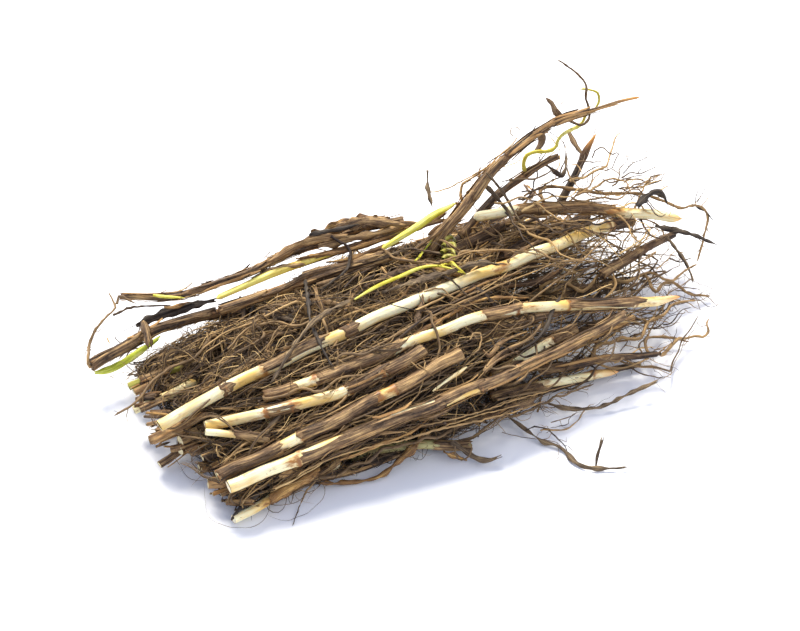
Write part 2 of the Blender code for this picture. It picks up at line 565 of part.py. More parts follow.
def clear_gaps(strands):
    """Slim or shorten what still comes too near a strand of another node."""
    starts, first, owner = segments(strands)
    points = np.concatenate([s.points for s in strands])
    radius = np.concatenate([s.radii for s in strands])
    pairs = near_pairs(points, radius, first, owner, strands, starts, LEAST_GAP)
    pairs = pairs[pairs[:, 2] == NODE_GAP]
    i, j = pairs[:, 0].astype(int), pairs[:, 1].astype(int)
    s, t, _, distance = closest(points, first, i, j)
    cuts = {}
    for a, b, gap in zip(i, j, distance):
        thin, thick = (a, b) if radius[first[a]] < radius[first[b]] else (b, a)
        thick_r = max(radius[first[thick]], radius[first[thick] + 1])
        room = gap - LEAST_GAP - thick_r
        if max(radius[first[thin]], radius[first[thin] + 1]) <= room:
            continue
        strand = strands[owner[thin]]
        if room < LEAST_RADIUS and strand.stem:
            at = first[thin] - starts[owner[thin]]
            cuts[owner[thin]] = min(cuts.get(owner[thin], len(strand.points)), at)
        elif strand.stem or strand.blade:
            for end in (0, 1):
                radius[first[thin] + end] = min(radius[first[thin] + end], max(room, LEAST_RADIUS))
        else:
            short = (radius[first[thin]] + thick_r - gap + LEAST_GAP) / 2
            for seg in (thin, thick):
                for end in (0, 1):
                    radius[first[seg] + end] -= max(0.0, short) / 2
    kept = []
    for k, strand in enumerate(strands):
        strand.radii = radius[starts[k]:starts[k + 1]]
        if k in cuts:
            strand.points, strand.radii = strand.points[:cuts[k] + 1], strand.radii[:cuts[k] + 1]
        if not strand.stem or (len(strand.points) > 2 and is_joined(strand, kept)):
            kept.append(strand)
    return kept


def is_joined(root, kept):
    """Whether the strand that a root grows from is still there, where the root starts."""
    stem = root.stem
    if not stem.stem:
        return True
    return stem in kept and np.linalg.norm(stem.points - root.points[0], axis=1).min() < stem.radii.min()


def swept_mesh(strand):
    """A closed tube or blade along a strand, as a mesh about the strand's first point."""
    points, radii = strand.points, strand.radii
    tangent = np.gradient(points, axis=0)
    tangent /= np.linalg.norm(tangent, axis=1)[:, None]
    across = np.cross(tangent[0], BACK)
    if np.linalg.norm(across) < 0.2:
        across = np.cross(tangent[0], RIGHT)
    rings = []
    for k, centre in enumerate(points):
        if strand.blade:
            facing = np.cross(tangent[k], BACK)
            if np.linalg.norm(facing) > 0.2:
                across = facing if facing @ across > 0 else -facing
        across = across - (across @ tangent[k]) * tangent[k]
        across /= np.linalg.norm(across)
        over = np.cross(tangent[k], across)
        thick = min(LEAF_THICKNESS / 2, radii[k]) if strand.blade else radii[k]
        turn = [2 * math.pi * n / strand.sides for n in range(strand.sides)]
        rings.append([centre + math.cos(a) * radii[k] * across + math.sin(a) * thick * over for a in turn])
    form = bmesh.new()
    loops = [[form.verts.new((v - points[0]) * MM) for v in ring] for ring in rings]
    for low, high in zip(loops, loops[1:]):
        for n in range(strand.sides):
            m = (n + 1) % strand.sides
            form.faces.new((low[n], low[m], high[m], high[n]))
    form.faces.new(loops[0][::-1])
    form.faces.new(loops[-1])
    bmesh.ops.recalc_face_normals(form, faces=form.faces)
    bmesh.ops.triangulate(form, faces=form.faces)
    mesh = bpy.data.meshes.new(strand.node)
    form.to_mesh(mesh)
    form.free()
    return mesh


def place_strand(name, strand, collection):
    """An object for one strand, standing at the strand's first point."""
    obj = bpy.data.objects.new(name, swept_mesh(strand))
    obj.location = (strand.points[0] + FRAME_SHIFT) * MM
    collection.objects.link(obj)
    return obj


def apply_boolean(obj, operation, collection):
    """Unite an object with a collection, or cut the collection from it, and apply the result.

    EXACT leaves open edges where several thin roots meet on one joint, so these use MANIFOLD.
    """
    boolean = obj.modifiers.new(operation.lower(), "BOOLEAN")
    boolean.operation = operation
    boolean.solver = "MANIFOLD"
    boolean.operand_type = "COLLECTION"
    boolean.collection = collection
    bpy.context.view_layer.objects.active = obj
    bpy.ops.object.modifier_apply(modifier=boolean.name)
    for part in list(collection.objects):
        bpy.data.objects.remove(part)


def floor_slab(collection):
    """A block under the ground, which cuts flat what rests on it."""
    bpy.ops.mesh.primitive_cube_add(size=1.0, location=(0.0, 0.0, -FLOOR_SLAB / 2 * MM))
    slab = bpy.context.active_object
    slab.scale = (0.4, 0.4, FLOOR_SLAB * MM)
    for owner in list(slab.users_collection):
        owner.objects.unlink(slab)
    collection.objects.link(slab)


def material(name, colour):
    """A dry, slightly rough surface of one colour."""
    surface = bpy.data.materials.new(name)
    surface.use_nodes = True
    shader = surface.node_tree.nodes["Principled BSDF"]
    shader.inputs["Base Color"].default_value = (*colour, 1.0)
    shader.inputs["Roughness"].default_value = 0.6
    shader.inputs["Metallic"].default_value = 0.0
    return surface


def build_node(name, strands, colour):
    """One node: its rhizome or leaf, united with the roots that grow from it."""
    scene = bpy.context.scene.collection
    parts = bpy.data.collections.new(name + "_parts")
    scene.children.link(parts)
    obj = place_strand(name, strands[0], scene)
    for root in strands[1:]:
        place_strand(name + "_root", root, parts)
    if len(strands) > 1:
        apply_boolean(obj, "UNION", parts)
    if min((s.points[:, 2] - s.radii).min() for s in strands) < 0.0:
        floor_slab(parts)
        apply_boolean(obj, "DIFFERENCE", parts)
    bpy.data.collections.remove(parts)
    obj.data.materials.clear()
    obj.data.materials.append(material(name, colour))


def build():
    """Lay every strand out, push them clear of each other and build the nodes."""
    draw = random.Random(ROOT_SEED)
    colours = {name: spec["colour"] for name, spec in RHIZOMES.items()}
    colours.update({name: leaf[1] for name, leaf in LEAVES.items()})
    stems = [rhizome_strand(name, spec) for name, spec in RHIZOMES.items()]
    hidden = [hidden_strand(k, *spec) for k, spec in enumerate(HIDDEN)]
    colours.update({s.node: BROWN for s in hidden})
    relax(stems + hidden, stems + hidden, 160)
    for _ in range(STRAIGHTENINGS):
        straighten(stems + hidden)
        relax(stems + hidden, stems + hidden, 40)
    leaves = [leaf_strand(name, leaf[0], leaf[2]) for name, leaf in LEAVES.items()]
    bare = []
    for spec in BARE_ROOTS:
        bare.append(bare_root_strand(stems + hidden + bare, *spec))
    relax(stems + hidden + bare + leaves, bare + leaves, 140)
    rooting = [stem for stem in stems + hidden if rooting_points(stem)]
    fibrous = [fibrous_root_strand(stem, draw) for stem in rooting for _ in range(ROOTS_PER_RHIZOME)]
    everything = stems + hidden + bare + leaves + fibrous
    relax(everything, fibrous, 120)
    for strand in everything:
        thin_out(strand)
    everything = clear_gaps(clear_gaps(everything))
    for name, colour in colours.items():
        build_node(name, [s for s in everything if s.node == name], colour)


for old in list(bpy.data.objects):
    bpy.data.objects.remove(old)
build()
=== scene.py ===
"""Couch grass root: the rhizomes, sheaths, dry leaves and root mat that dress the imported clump.

The strands are laid out as in the part's source, in millimetres in the camera's frame, so every piece
lies where its CAD node is. Rhizomes become ribbed tubes with rings at the joints, sheaths are thin
rolled sheets with torn edges, leaves are folded sheets, and fine roots wander through the heap.
"""

import math
import random

import bpy
import numpy as np
from mathutils import Matrix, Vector
from mathutils.kdtree import KDTree


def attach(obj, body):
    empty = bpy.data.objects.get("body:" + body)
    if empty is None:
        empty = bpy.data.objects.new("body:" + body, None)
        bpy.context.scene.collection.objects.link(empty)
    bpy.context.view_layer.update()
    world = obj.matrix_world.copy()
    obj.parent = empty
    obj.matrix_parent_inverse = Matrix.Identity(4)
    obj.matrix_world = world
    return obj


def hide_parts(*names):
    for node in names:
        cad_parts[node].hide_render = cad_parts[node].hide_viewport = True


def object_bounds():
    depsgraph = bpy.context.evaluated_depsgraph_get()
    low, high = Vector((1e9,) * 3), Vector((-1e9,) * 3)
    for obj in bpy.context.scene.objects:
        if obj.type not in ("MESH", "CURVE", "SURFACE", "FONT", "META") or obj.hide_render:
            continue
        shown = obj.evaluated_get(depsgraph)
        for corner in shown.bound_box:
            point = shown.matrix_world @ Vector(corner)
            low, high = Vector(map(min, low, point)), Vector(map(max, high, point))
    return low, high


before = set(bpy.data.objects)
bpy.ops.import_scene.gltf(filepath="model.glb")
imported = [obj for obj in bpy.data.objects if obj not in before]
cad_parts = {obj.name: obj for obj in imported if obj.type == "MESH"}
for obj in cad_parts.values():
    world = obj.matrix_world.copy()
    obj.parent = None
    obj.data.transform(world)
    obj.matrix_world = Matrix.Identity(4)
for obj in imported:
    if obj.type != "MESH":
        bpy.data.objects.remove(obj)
cad_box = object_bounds()

# Driving dimensions, in millimetres unless the name says otherwise.
MM = 0.001
STEP = 2.0
NODE_GAP = 0.5
SAME_NODE_GAP = 0.2
SINK = 0.2
ROOT_D = 1.0

# The camera of the picture.
AZIMUTH = math.radians(-32.0)
ELEVATION = math.radians(42.0)
DISTANCE = 350.0
PIXELS_PER_MM = 4.8
PICTURE_CENTRE = (400.0, 315.5)
PICTURE_WIDTH = 800.0
SENSOR_WIDTH = 36.0
TARGET = np.array([0.0, 0.0, 10.0])
# From the camera's frame to the part's, whose origin is on the ground under the middle of its box.
FRAME_SHIFT = np.array([-5.4, 9.2, 0.0])

# Random phases are drawn up to PHASE, about a full turn, and shifts of a skin's grain up to GRAIN_SHIFT mm.
PHASE = 6.3
GRAIN_SHIFT = 400
TINY = 1e-9
# The scatter of a wandering root's points, in millimetres.
KINKS = 0.06
# How many pieces of some kinds are drawn, and the steps of a loose strip.
STUBS = 64
CRUMBS = 900
SCRAP_STEPS = 14
SEEDS = dict(stems=400, leaves=700, bare_roots=900, fibrous_roots=1900, mats=5, thickets=303, rear_roots=71,
             scraps=23, scrap_shapes=5000, blades=8000, twigs=61, stubs=77, crumbs=41)

# The heap that most strands lie on: stations along X, then its height, half width and middle.
HEAP_X = (-60.0, -25.0, 0.0, 30.0, 60.0)
HEAP_HEIGHT = (11.0, 18.0, 21.0, 19.0, 13.0)
HEAP_HALF_WIDTH = (24.0, 28.0, 31.0, 30.0, 24.0)
HEAP_MIDDLE = (-2.0, -4.0, -6.0, -9.0, -12.0)
HEAP_TOP = 34.0

CREAM = (0.85, 0.76, 0.44)
OLIVE = (0.46, 0.42, 0.20)
BROWN = (0.30, 0.20, 0.11)
DARK = (0.12, 0.09, 0.06)
TAN = (0.45, 0.30, 0.14)
YELLOW = (0.75, 0.68, 0.12)
GREEN = (0.50, 0.58, 0.10)
GREY = (0.20, 0.19, 0.15)

# Rhizomes and shoots that lie in view. The columns in joints and sheaths say where the rings and the
# sheath edges are. A tip is the length over which the end tapers to a point.
RHIZOMES = {
    "long_pale_rhizome": dict(
        d=2.4, colour=CREAM, joints=(226, 350, 425, 498, 606), sheaths=((262, 323), (610, 634)),
        route=((158, 427), (190, 409), (226, 388), (265, 367), (321, 345), (350, 329), (388, 312),
               (425, 296), (460, 282), (498, 269), (540, 252), (575, 238), (608, 223), (633, 219))),
    "short_pale_rhizome": dict(
        d=2.3, colour=CREAM, joints=(292, 381), sheaths=((268, 294), (348, 381)),
        route=((203, 427), (235, 420), (266, 411), (292, 406), (330, 400), (358, 392), (372, 380),
               (390, 368), (410, 357), (425, 348))),
    "upper_brown_rhizome": dict(
        d=2.2, colour=BROWN, tip=6.0, joints=(400, 517, 635),
        sheaths=((262, 295), (316, 399), (484, 517), (568, 634)),
        route=((262, 398), (290, 392), (313, 383), (350, 368), (399, 347), (440, 330), (482, 312),
               (500, 306), (556, 306), (600, 305), (634, 304), (660, 303), (682, 297))),
    "thick_brown_rhizome": dict(
        d=2.7, colour=BROWN, joints=(298, 389, 520), sheaths=((299, 440), (479, 626)),
        route=((227, 487), (262, 474), (298, 459), (340, 441), (389, 420), (439, 404), (479, 389),
               (520, 371), (560, 352), (600, 328), (626, 313))),
    "second_brown_rhizome": dict(
        d=2.4, colour=BROWN, joints=(277, 378), sheaths=((216, 279), (300, 377), (395, 463)),
        route=((216, 478), (250, 463), (277, 449), (300, 439), (330, 424), (361, 409), (378, 400),
               (404, 384), (430, 371), (463, 353))),
    "low_front_rhizome": dict(
        d=1.9, colour=BROWN, joints=(272,), sheaths=((272, 340),),
        route=((234, 519, 1.6), (250, 510, 2), (272, 501, 2.5), (292, 488, 3), (310, 477, 3.5),
               (340, 462, 4.5))),
    "olive_front_rhizome": dict(
        d=1.9, colour=OLIVE, joints=(435,), sheaths=((435, 476),),
        route=((345, 462, 2), (374, 450, 2.5), (400, 447, 2.5), (435, 441, 2.5), (460, 444, 2),
               (476, 446, 2))),
    "left_stub": dict(
        d=1.6, colour=BROWN,
        route=((157, 467, 2), (176, 452, 3), (195, 437, 4.5), (225, 420, 6), (255, 407, 7))),
    "left_upper_piece": dict(
        d=2.1, colour=BROWN, joints=(185,),
        route=((150, 441, 7), (170, 433, 8.5), (188, 427, 9.5), (208, 413, 11))),
    "left_cut_end": dict(
        d=1.9, colour=CREAM,
        route=((134, 410, 6), (150, 401, 7), (170, 392, 8), (196, 381, 8.5))),
    "left_green_cut_end": dict(
        d=1.7, colour=GREEN,
        route=((129, 387, 5), (143, 383, 6), (160, 376, 7), (184, 366, 8))),
    "thin_pale_rhizome": dict(
        d=1.5, colour=CREAM,
        route=((207, 431), (230, 430), (252, 431), (270, 440))),
    "lower_pale_rhizome": dict(
        d=1.8, colour=CREAM, joints=(592,), sheaths=((488, 540),), tip=3.0,
        route=((488, 398, 3.5), (510, 392, 3.2), (527, 387, 3), (560, 381, 2.8), (592, 375, 2.6),
               (621, 371, 2.4))),
    "hairy_root": dict(
        d=2.4, colour=BROWN,
        route=((535, 372, 5), (555, 366, 5), (580, 362, 5), (604, 358, 5), (633, 353, 4.5),
               (661, 353, 4.5))),
    "short_cream_piece": dict(
        d=1.8, colour=CREAM, joints=(551,), sheaths=((490, 516), (551, 575)),
        route=((490, 378, 8), (516, 362, 9), (535, 350, 10), (551, 339, 10), (575, 327, 10))),
    "right_pale_rhizome": dict(
        d=2.2, colour=CREAM, joints=(543, 609), sheaths=((517, 609),), tip=1.5,
        route=((470, 218, 20), (500, 211, 20), (517, 208, 20), (543, 204, 19.5), (575, 207, 19),
               (609, 210, 18), (645, 214, 17), (683, 219, 16))),
    "right_brown_rhizome": dict(
        d=2.2, colour=BROWN,
        route=((440, 255, 16), (455, 250, 16), (480, 238, 16), (507, 224, 16), (524, 216, 15))),
    "broad_sheath_piece": dict(
        d=2.8, colour=BROWN,
        route=((500, 258, 15), (514, 249, 15), (540, 236, 15), (565, 224, 14), (588, 218, 13))),
    "right_stub": dict(
        d=2.2, colour=BROWN, joints=(643,),
        route=((600, 276, 11), (624, 262, 11), (643, 248, 11), (660, 240, 10.5), (676, 233, 10))),
    "back_brown_rhizome": dict(
        d=1.8, colour=BROWN, joints=(190, 300),
        route=((117, 297, 12), (133, 303, 12), (167, 303, 13), (190, 298, 14), (207, 292, 15),
               (244, 278, 16), (270, 262, 17), (300, 246, 18), (330, 238, 18), (359, 227, 19),
               (385, 222, 19), (406, 220, 20))),
    "back_yellow_rhizome": dict(
        d=1.4, colour=YELLOW, joints=(299,), sheaths=((299, 415),),
        route=((213, 300, 13), (240, 287, 14), (255, 281, 15), (280, 268, 16), (299, 260, 17),
               (325, 256, 17.5), (347, 250, 18), (370, 242, 18), (392, 236, 18.5), (415, 228, 19))),
    "back_tan_rhizome": dict(
        d=2.2, colour=TAN, joints=(300,),
        route=((215, 312, 11), (240, 304, 12), (262, 296, 13), (280, 288, 14), (300, 280, 15),
               (330, 272, 16), (360, 264, 17), (390, 256, 17.5))),
    "left_arm": dict(
        d=2.4, colour=BROWN, joints=(146, 213),
        route=((88, 368, 8), (100, 357, 8.5), (125, 344, 10), (146, 333, 11), (180, 318, 12),
               (213, 304, 12), (232, 303, 11), (250, 312, 9))),
    "big_shoot": dict(
        d=2.4, colour=BROWN, joints=(463, 502), sheaths=((424, 470), (555, 585)), tip=42.0,
        route=((424, 262, 14), (441, 238, 18), (451, 224, 20), (463, 210, 23), (475, 189, 26),
               (490, 171, 29), (502, 154, 32), (514, 141, 34), (533, 126, 36), (555, 118, 38),
               (575, 112, 39), (596, 107, 40), (620, 100, 41), (643, 96, 42))),
    "second_shoot": dict(
        d=1.9, colour=BROWN, joints=(522,),
        route=((455, 244, 14), (476, 218, 18), (492, 197, 22), (508, 179, 25), (522, 165, 27),
               (545, 161, 28), (563, 155, 29))),
    "yellow_shoot": dict(
        d=1.5, colour=YELLOW,
        route=((382, 250, 19), (406, 233, 20.5), (420, 221, 21.5), (441, 208, 23), (460, 202, 24))),
    "dark_upright_shoot": dict(
        d=2.3, colour=DARK, joints=(584,), tip=4.0,
        route=((558, 208, 12), (566, 193, 16), (575, 175, 19), (586, 155, 23), (592, 143, 25),
               (596, 134, 27))),
}

# Rhizomes that the picture hides: offset from the heap's middle, height, and the stretch along X.
# Those at FOOT lie on the ground and carry the rest.
FOOT = 1.15
HIDDEN = (
    (-20.0, FOOT, -44.0, 40.0), (-7.0, FOOT, -52.0, 47.0), (7.0, FOOT, -50.0, 44.0),
    (22.0, FOOT, -42.0, 38.0), (-14.0, 6.0, -46.0, 44.0), (-1.0, 6.2, -54.0, 50.0),
    (15.0, 6.0, -47.0, 38.0), (-8.0, 11.0, -38.0, 36.0), (8.0, 11.0, -38.0, 34.0),
    (29.0, FOOT, -30.0, 40.0), (35.0, FOOT, -6.0, 44.0),
)
HIDDEN_D = 2.4

# Leaves and sheath scraps: half width, colour, route.
LEAVES = {
    "left_green_sheath": (1.1, GREEN, (
        (91, 372, 6.5), (98, 373, 6.8), (120, 363, 8), (140, 352, 9.5), (158, 340, 10.5))),
    "dark_strip": (0.9, DARK, (
        (136, 324, 12), (150, 318, 12.5), (170, 311, 13), (198, 301, 13.5))),
    "yellow_scale": (0.8, YELLOW, ((153, 295, 15), (160, 298, 14.6), (168, 300, 14.8), (180, 298, 15.4))),
    "crumpled_top_leaf": (1.5, TAN, (
        (309, 235, 21), (330, 232, 21), (345, 224, 22), (370, 219, 22), (386, 216, 22))),
    "tan_strap_leaf": (1.0, TAN, (
        (318, 482, 3), (335, 485, 1.5), (353, 484, 1), (376, 479, 1), (404, 456, 3), (419, 443, 5),
        (428, 425, 7))),
    "folded_front_leaf": (1.1, GREY, (
        (450, 441, 4), (460, 446, 3.5), (470, 456, 2), (479, 464, 1.2), (488, 466, 1), (498, 457, 2.5))),
    "brown_front_scrap": (0.9, TAN, ((443, 452, 3.5), (452, 458, 2.5), (462, 458, 2))),
    "right_ground_leaf": (0.6, GREY, (
        (545, 402, 3), (556, 407, 2), (575, 411, 1), (590, 407, 1.5), (605, 412, 1), (613, 402, 2),
        (635, 391, 3), (657, 381, 4))),
    "far_ground_leaf": (0.7, GREY, (
        (505, 415, 3), (512, 419, 2.5), (530, 431, 1.5), (544, 445, 1), (560, 441, 1), (568, 455, 0.8),
        (577, 468, 0.8), (593, 469, 0.8), (624, 468, 0.8))),
    "first_dark_leaf": (0.6, DARK, ((305, 278), (307, 300), (310, 322), (322, 350), (333, 368))),
    "second_dark_leaf": (0.6, DARK, ((350, 255), (347, 270), (340, 277), (322, 290))),
    "third_dark_leaf": (0.9, GREY, (
        (353, 298), (335, 306), (320, 316), (305, 333), (295, 347), (285, 362), (272, 382))),
    "wrinkled_leaf": (1.2, GREY, (
        (380, 293), (400, 284), (425, 277), (448, 273), (466, 268), (478, 263), (502, 264))),
    "yellow_leaf": (0.7, YELLOW, ((352, 300), (375, 287), (400, 276), (420, 268), (440, 264), (461, 270))),
    "upper_grey_leaf": (0.5, GREY, (
        (486, 172, 30), (494, 181, 28), (505, 196, 25), (514, 212, 22), (524, 228, 20))),
    "folded_dark_leaf": (1.1, DARK, (
        (637, 206, 20), (648, 195, 21), (658, 184, 22), (669, 191, 21), (667, 202, 19))),
    "far_right_leaf": (0.7, DARK, ((655, 226, 13), (680, 232, 13), (696, 234, 13), (710, 242, 12))),
    "hanging_leaf": (0.7, GREY, (
        (664, 236, 11), (672, 244, 10), (680, 256, 8), (691, 268, 5), (694, 280, 2))),
    "small_upright_leaf": (0.6, GREY, ((428, 170, 27), (427, 182, 25), (428, 195, 23), (433, 207, 22))),
}
LEAF_LIFT = 2.2

# Long bare roots: diameter, lift over the heap, route from the end that grows out of a rhizome.
BARE_ROOTS = (
    (1.1, 0, ((540, 190, 20), (575, 189, 20), (600, 192, 19), (643, 194, 17), (666, 202, 16),
              (681, 208, 15), (695, 205, 15), (704, 209, 14), (702, 240, 9), (697, 262, 5))),
    (1.1, 0, ((540, 286, 11), (567, 284, 10), (577, 290, 9), (597, 279, 9), (626, 278, 8),
              (655, 276, 7), (667, 279, 6.5), (697, 264, 6))),
    (1.1, 0, ((655, 292, 7), (664, 283, 6), (672, 282, 5), (689, 292, 3), (712, 297, 1.2))),
    (1.1, 0, ((585, 364, 5), (601, 348, 5), (621, 341, 5), (639, 337, 5), (654, 320, 5.5),
              (664, 313, 6), (679, 301, 6), (699, 299, 6))),
    (1.0, 0, ((648, 352, 4), (645, 340, 4), (665, 337, 3), (690, 342, 1.5))),
    (1.0, 0, ((660, 355, 4), (679, 341, 3), (694, 337, 2.5), (708, 334, 2.5), (706, 326, 3),
              (710, 318, 3))),
    (0.8, 2, ((400, 260), (436, 263), (471, 252), (510, 250), (536, 252), (560, 259), (600, 262))),
    (0.9, 0, ((318, 478, 4), (360, 463, 5), (383, 450, 6), (440, 433, 7), (470, 420, 7),
              (520, 413, 6), (560, 396, 5), (596, 383, 4))),
    (1.0, 0, ((213, 335, 13), (193, 358, 12), (173, 367, 12), (149, 385, 11), (137, 402, 10),
              (114, 416, 8))),
    (0.8, 1, ((301, 302), (266, 315), (250, 323), (227, 331), (202, 349))),
    (0.8, 1, ((263, 337), (247, 346), (230, 356))),
    (0.8, 1, ((320, 316), (306, 321), (272, 324), (246, 330), (226, 349))),
    (0.8, 1, ((262, 398), (280, 395), (300, 390), (322, 390), (340, 381), (372, 373))),
    (0.8, 2, ((337, 357), (349, 354), (360, 355), (383, 345), (399, 343))),
    (0.9, 0, ((88, 366, 9), (90, 345, 11), (97, 330, 13), (107, 316, 15), (115, 306, 16),
              (113, 297, 17), (109, 290, 18))),
    (1.2, 0, ((522, 163, 28), (551, 148, 31), (571, 132, 34), (588, 115, 37), (600, 99, 40),
              (597, 90, 42), (580, 89, 42))),
    (0.9, 0, ((560, 116, 37), (584, 125, 36), (589, 120, 37), (588, 99, 41), (582, 79, 45),
              (569, 66, 47), (557, 58, 49))),
    (2.0, 0, ((558, 116, 37.5), (554, 106, 39.5), (546, 98, 41))),
    (0.9, 0, ((462, 205, 22), (461, 186, 25), (475, 176, 27), (486, 167, 28))),
)

# Fibrous roots: how many grow from each rhizome, and how far they run.
ROOTS_PER_RHIZOME = 4
ROOT_LENGTH = (14.0, 32.0)
ROOT_SEED = 11
HEAP_ENDS = (-56.0, 58.0)
SHOOT_CLEARANCE = 3.0
SHARPEST_TURN = 0.8

# How often the rhizomes are straightened once they are clear of each other, and how much.
STRAIGHTENINGS = 3
STRAIGHTENING_ROUNDS = 12
CURVE_STEPS = 12
# The rounds in which each kind of strand is pushed clear, and how often the near pairs are looked up.
RHIZOME_ROUNDS, AGAIN_ROUNDS, BARE_ROUNDS, FIBROUS_ROUNDS = 160, 40, 140, 120
ROUNDS_PER_LOOK = 5
NEAR = 1.5
# How far a push overshoots, and how strongly strands keep their bends, their length and their place.
OVERSHOOT = 1.4
BEND_HOLD, BEND_REACTION = 0.25, 0.12
LENGTH_HOLD = 0.3
HOME_ROUNDS, LATE_HOLD = 0.6, 0.1

BACK = np.array([math.sin(AZIMUTH) * math.cos(ELEVATION),
                 -math.cos(AZIMUTH) * math.cos(ELEVATION), math.sin(ELEVATION)])
RIGHT = np.array([math.cos(AZIMUTH), math.sin(AZIMUTH), 0.0])
UP = np.cross(BACK, RIGHT)
EYE = TARGET + DISTANCE * BACK
FOCAL = PIXELS_PER_MM * DISTANCE


def unit(vectors):
    """Vectors at length 1."""
    return vectors / np.maximum(np.linalg.norm(vectors, axis=-1), TINY)[..., None]


def ray(column, row):
    """The line of sight at a point of the picture."""
    return RIGHT * (column - PICTURE_CENTRE[0]) / FOCAL - UP * (row - PICTURE_CENTRE[1]) / FOCAL - BACK


def spot(column, row, height):
    """The place at a height that the camera sees at a point of the picture."""
    sight = ray(column, row)
    return EYE + sight * (height - EYE[2]) / sight[2]


def seen(points):
    """The columns and rows at which the camera sees places."""
    offset = points - EYE
    depth = -(offset @ BACK)
    return (PICTURE_CENTRE[0] + FOCAL * (offset @ RIGHT) / depth,
            PICTURE_CENTRE[1] - FOCAL * (offset @ UP) / depth)


def heap(x, y):
    """Height of the heap's surface."""
    across = (y - np.interp(x, HEAP_X, HEAP_MIDDLE)) / np.interp(x, HEAP_X, HEAP_HALF_WIDTH)
    return np.interp(x, HEAP_X, HEAP_HEIGHT) * np.sqrt(np.maximum(0.0, 1.0 - across * across))


def on_heap(column, row, lift, radius):
    """The first place on the line of sight that is down at the heap's surface."""
    height = HEAP_TOP
    place = spot(column, row, height)
    while height > radius and height > heap(place[0], place[1]) + lift:
        height -= 0.1
        place = spot(column, row, height)
    return place


def places(route, lift, radius):
    """A route of the picture as places in millimetres."""
    return np.array([spot(*p) if len(p) == 3 else on_heap(*p, lift, radius) for p in route])


def run_of(points):
    """Distances along a chain of points."""
    return np.concatenate([[0.0], np.cumsum(np.linalg.norm(np.diff(points, axis=0), axis=1))])


def smooth(points, step):
    """Points at even steps along a smooth curve through the given ones."""
    along = run_of(points)
    slope = np.gradient(points, along, axis=0)
    fine = []
    for i in range(len(points) - 1):
        span = along[i + 1] - along[i]
        for t in np.linspace(0.0, 1.0, CURVE_STEPS, endpoint=False):
            ease = 3 * t ** 2 - 2 * t ** 3
            bulge = span * ((t ** 3 - 2 * t ** 2 + t) * slope[i] + (t ** 3 - t ** 2) * slope[i + 1])
            fine.append((1 - ease) * points[i] + ease * points[i + 1] + bulge)
    fine = np.array(fine + [points[-1]])
    run = run_of(fine)
    stops = np.linspace(0.0, run[-1], max(3, round(run[-1] / step)) + 1)
    return np.stack([np.interp(stops, run, fine[:, k]) for k in range(3)], axis=1)


def settled(points, rounds):
    """A chain of points with its small kinks smoothed out, its ends held."""
    points = points.copy()
    for _ in range(rounds):
        points[1:-1] = 0.5 * points[1:-1] + 0.25 * (points[:-2] + points[2:])
    return points


def narrowed(share, least, steepness):
    """The share of its full width that a blade has at shares of its length, as both ends narrow."""
    return np.clip(least + steepness * np.minimum(share, 1.0 - share), least, 1.0)


class Strand:
    """A chain of points with a radius at each, held to its place by two stiffnesses: across and along
    the line of sight."""

    def __init__(self, node, points, radii, hold, stem=None, at=0):
        self.node, self.points, self.radii, self.hold = node, points, radii, hold
        self.stem, self.at = stem, at
        self.joints = self.sheaths = ()


def rhizome_strand(name, spec):
    """A rhizome or shoot, with its rings, sheath edges and taper."""
    radius = spec["d"] / 2
    points = smooth(places(spec["route"], 0.0, radius), STEP)
    strand = Strand(name, points, np.full(len(points), radius), (0.12, 0.01))
    strand.joints = spec.get("joints", ())
    strand.sheaths = spec.get("sheaths", ())
    run = np.linalg.norm(np.diff(points, axis=0), axis=1)
    to_end = np.concatenate([np.cumsum(run[::-1])[::-1], [0.0]])
    if "tip" in spec:
        strand.radii = radius * np.clip(0.25 + 0.75 * to_end / spec["tip"], 0.25, 1.0)
    return strand


def hidden_strand(number, offset, height, x_from, x_to):
    """A rhizome inside the heap, nearly straight."""
    stops = np.linspace(x_from, x_to, 9)
    sway = 1.3 * np.sin(0.11 * stops + 2.1 * number)
    rise = 0.0 if height == FOOT else 0.9
    middle = np.interp(stops, HEAP_X, HEAP_MIDDLE)
    route = [(x, m + offset + s, height + rise * math.sin(0.09 * x + number))
             for x, m, s in zip(stops, middle, sway)]
    points = smooth(np.array(route), STEP)
    return Strand(f"hidden_rhizome_{number + 1}", points, np.full(len(points), HIDDEN_D / 2), (0.05, 0.03))


def leaf_strand(name, half_width, route):
    """A leaf, narrowing at both ends."""
    points = smooth(places(route, LEAF_LIFT, 1.0), STEP)
    radii = half_width * narrowed(np.linspace(0.0, 1.0, len(points)), 0.45, 3.0)
    return Strand(name, points, radii, (0.08, 0.01))


def nearest(strands, point):
    """The strand and the index of its point that lie nearest a place."""
    found = [(np.linalg.norm(s.points - point, axis=1).min(), k) for k, s in enumerate(strands)]
    strand = strands[min(found)[1]]
    return strand, int(np.linalg.norm(strand.points - point, axis=1).argmin())


def bare_root_strand(strands, diameter, lift, route):
    """A long root, grown from the rhizome that it starts beside."""
    line = places(route, lift, diameter / 2)
    stem, at = nearest(strands, line[0])
    points = smooth(np.vstack([stem.points[at], line]), STEP)
    radii = np.linspace(1.0, 0.8, len(points)) * diameter / 2
    return Strand(stem.node, points, radii, (0.06, 0.01), stem, at)


def rooting_points(stem):
    """Where on a rhizome roots can grow: away from its ends, and not up a shoot."""
    return [k for k in range(2, len(stem.points) - 2)
            if stem.points[k][2] < heap(stem.points[k][0], stem.points[k][1]) + SHOOT_CLEARANCE]


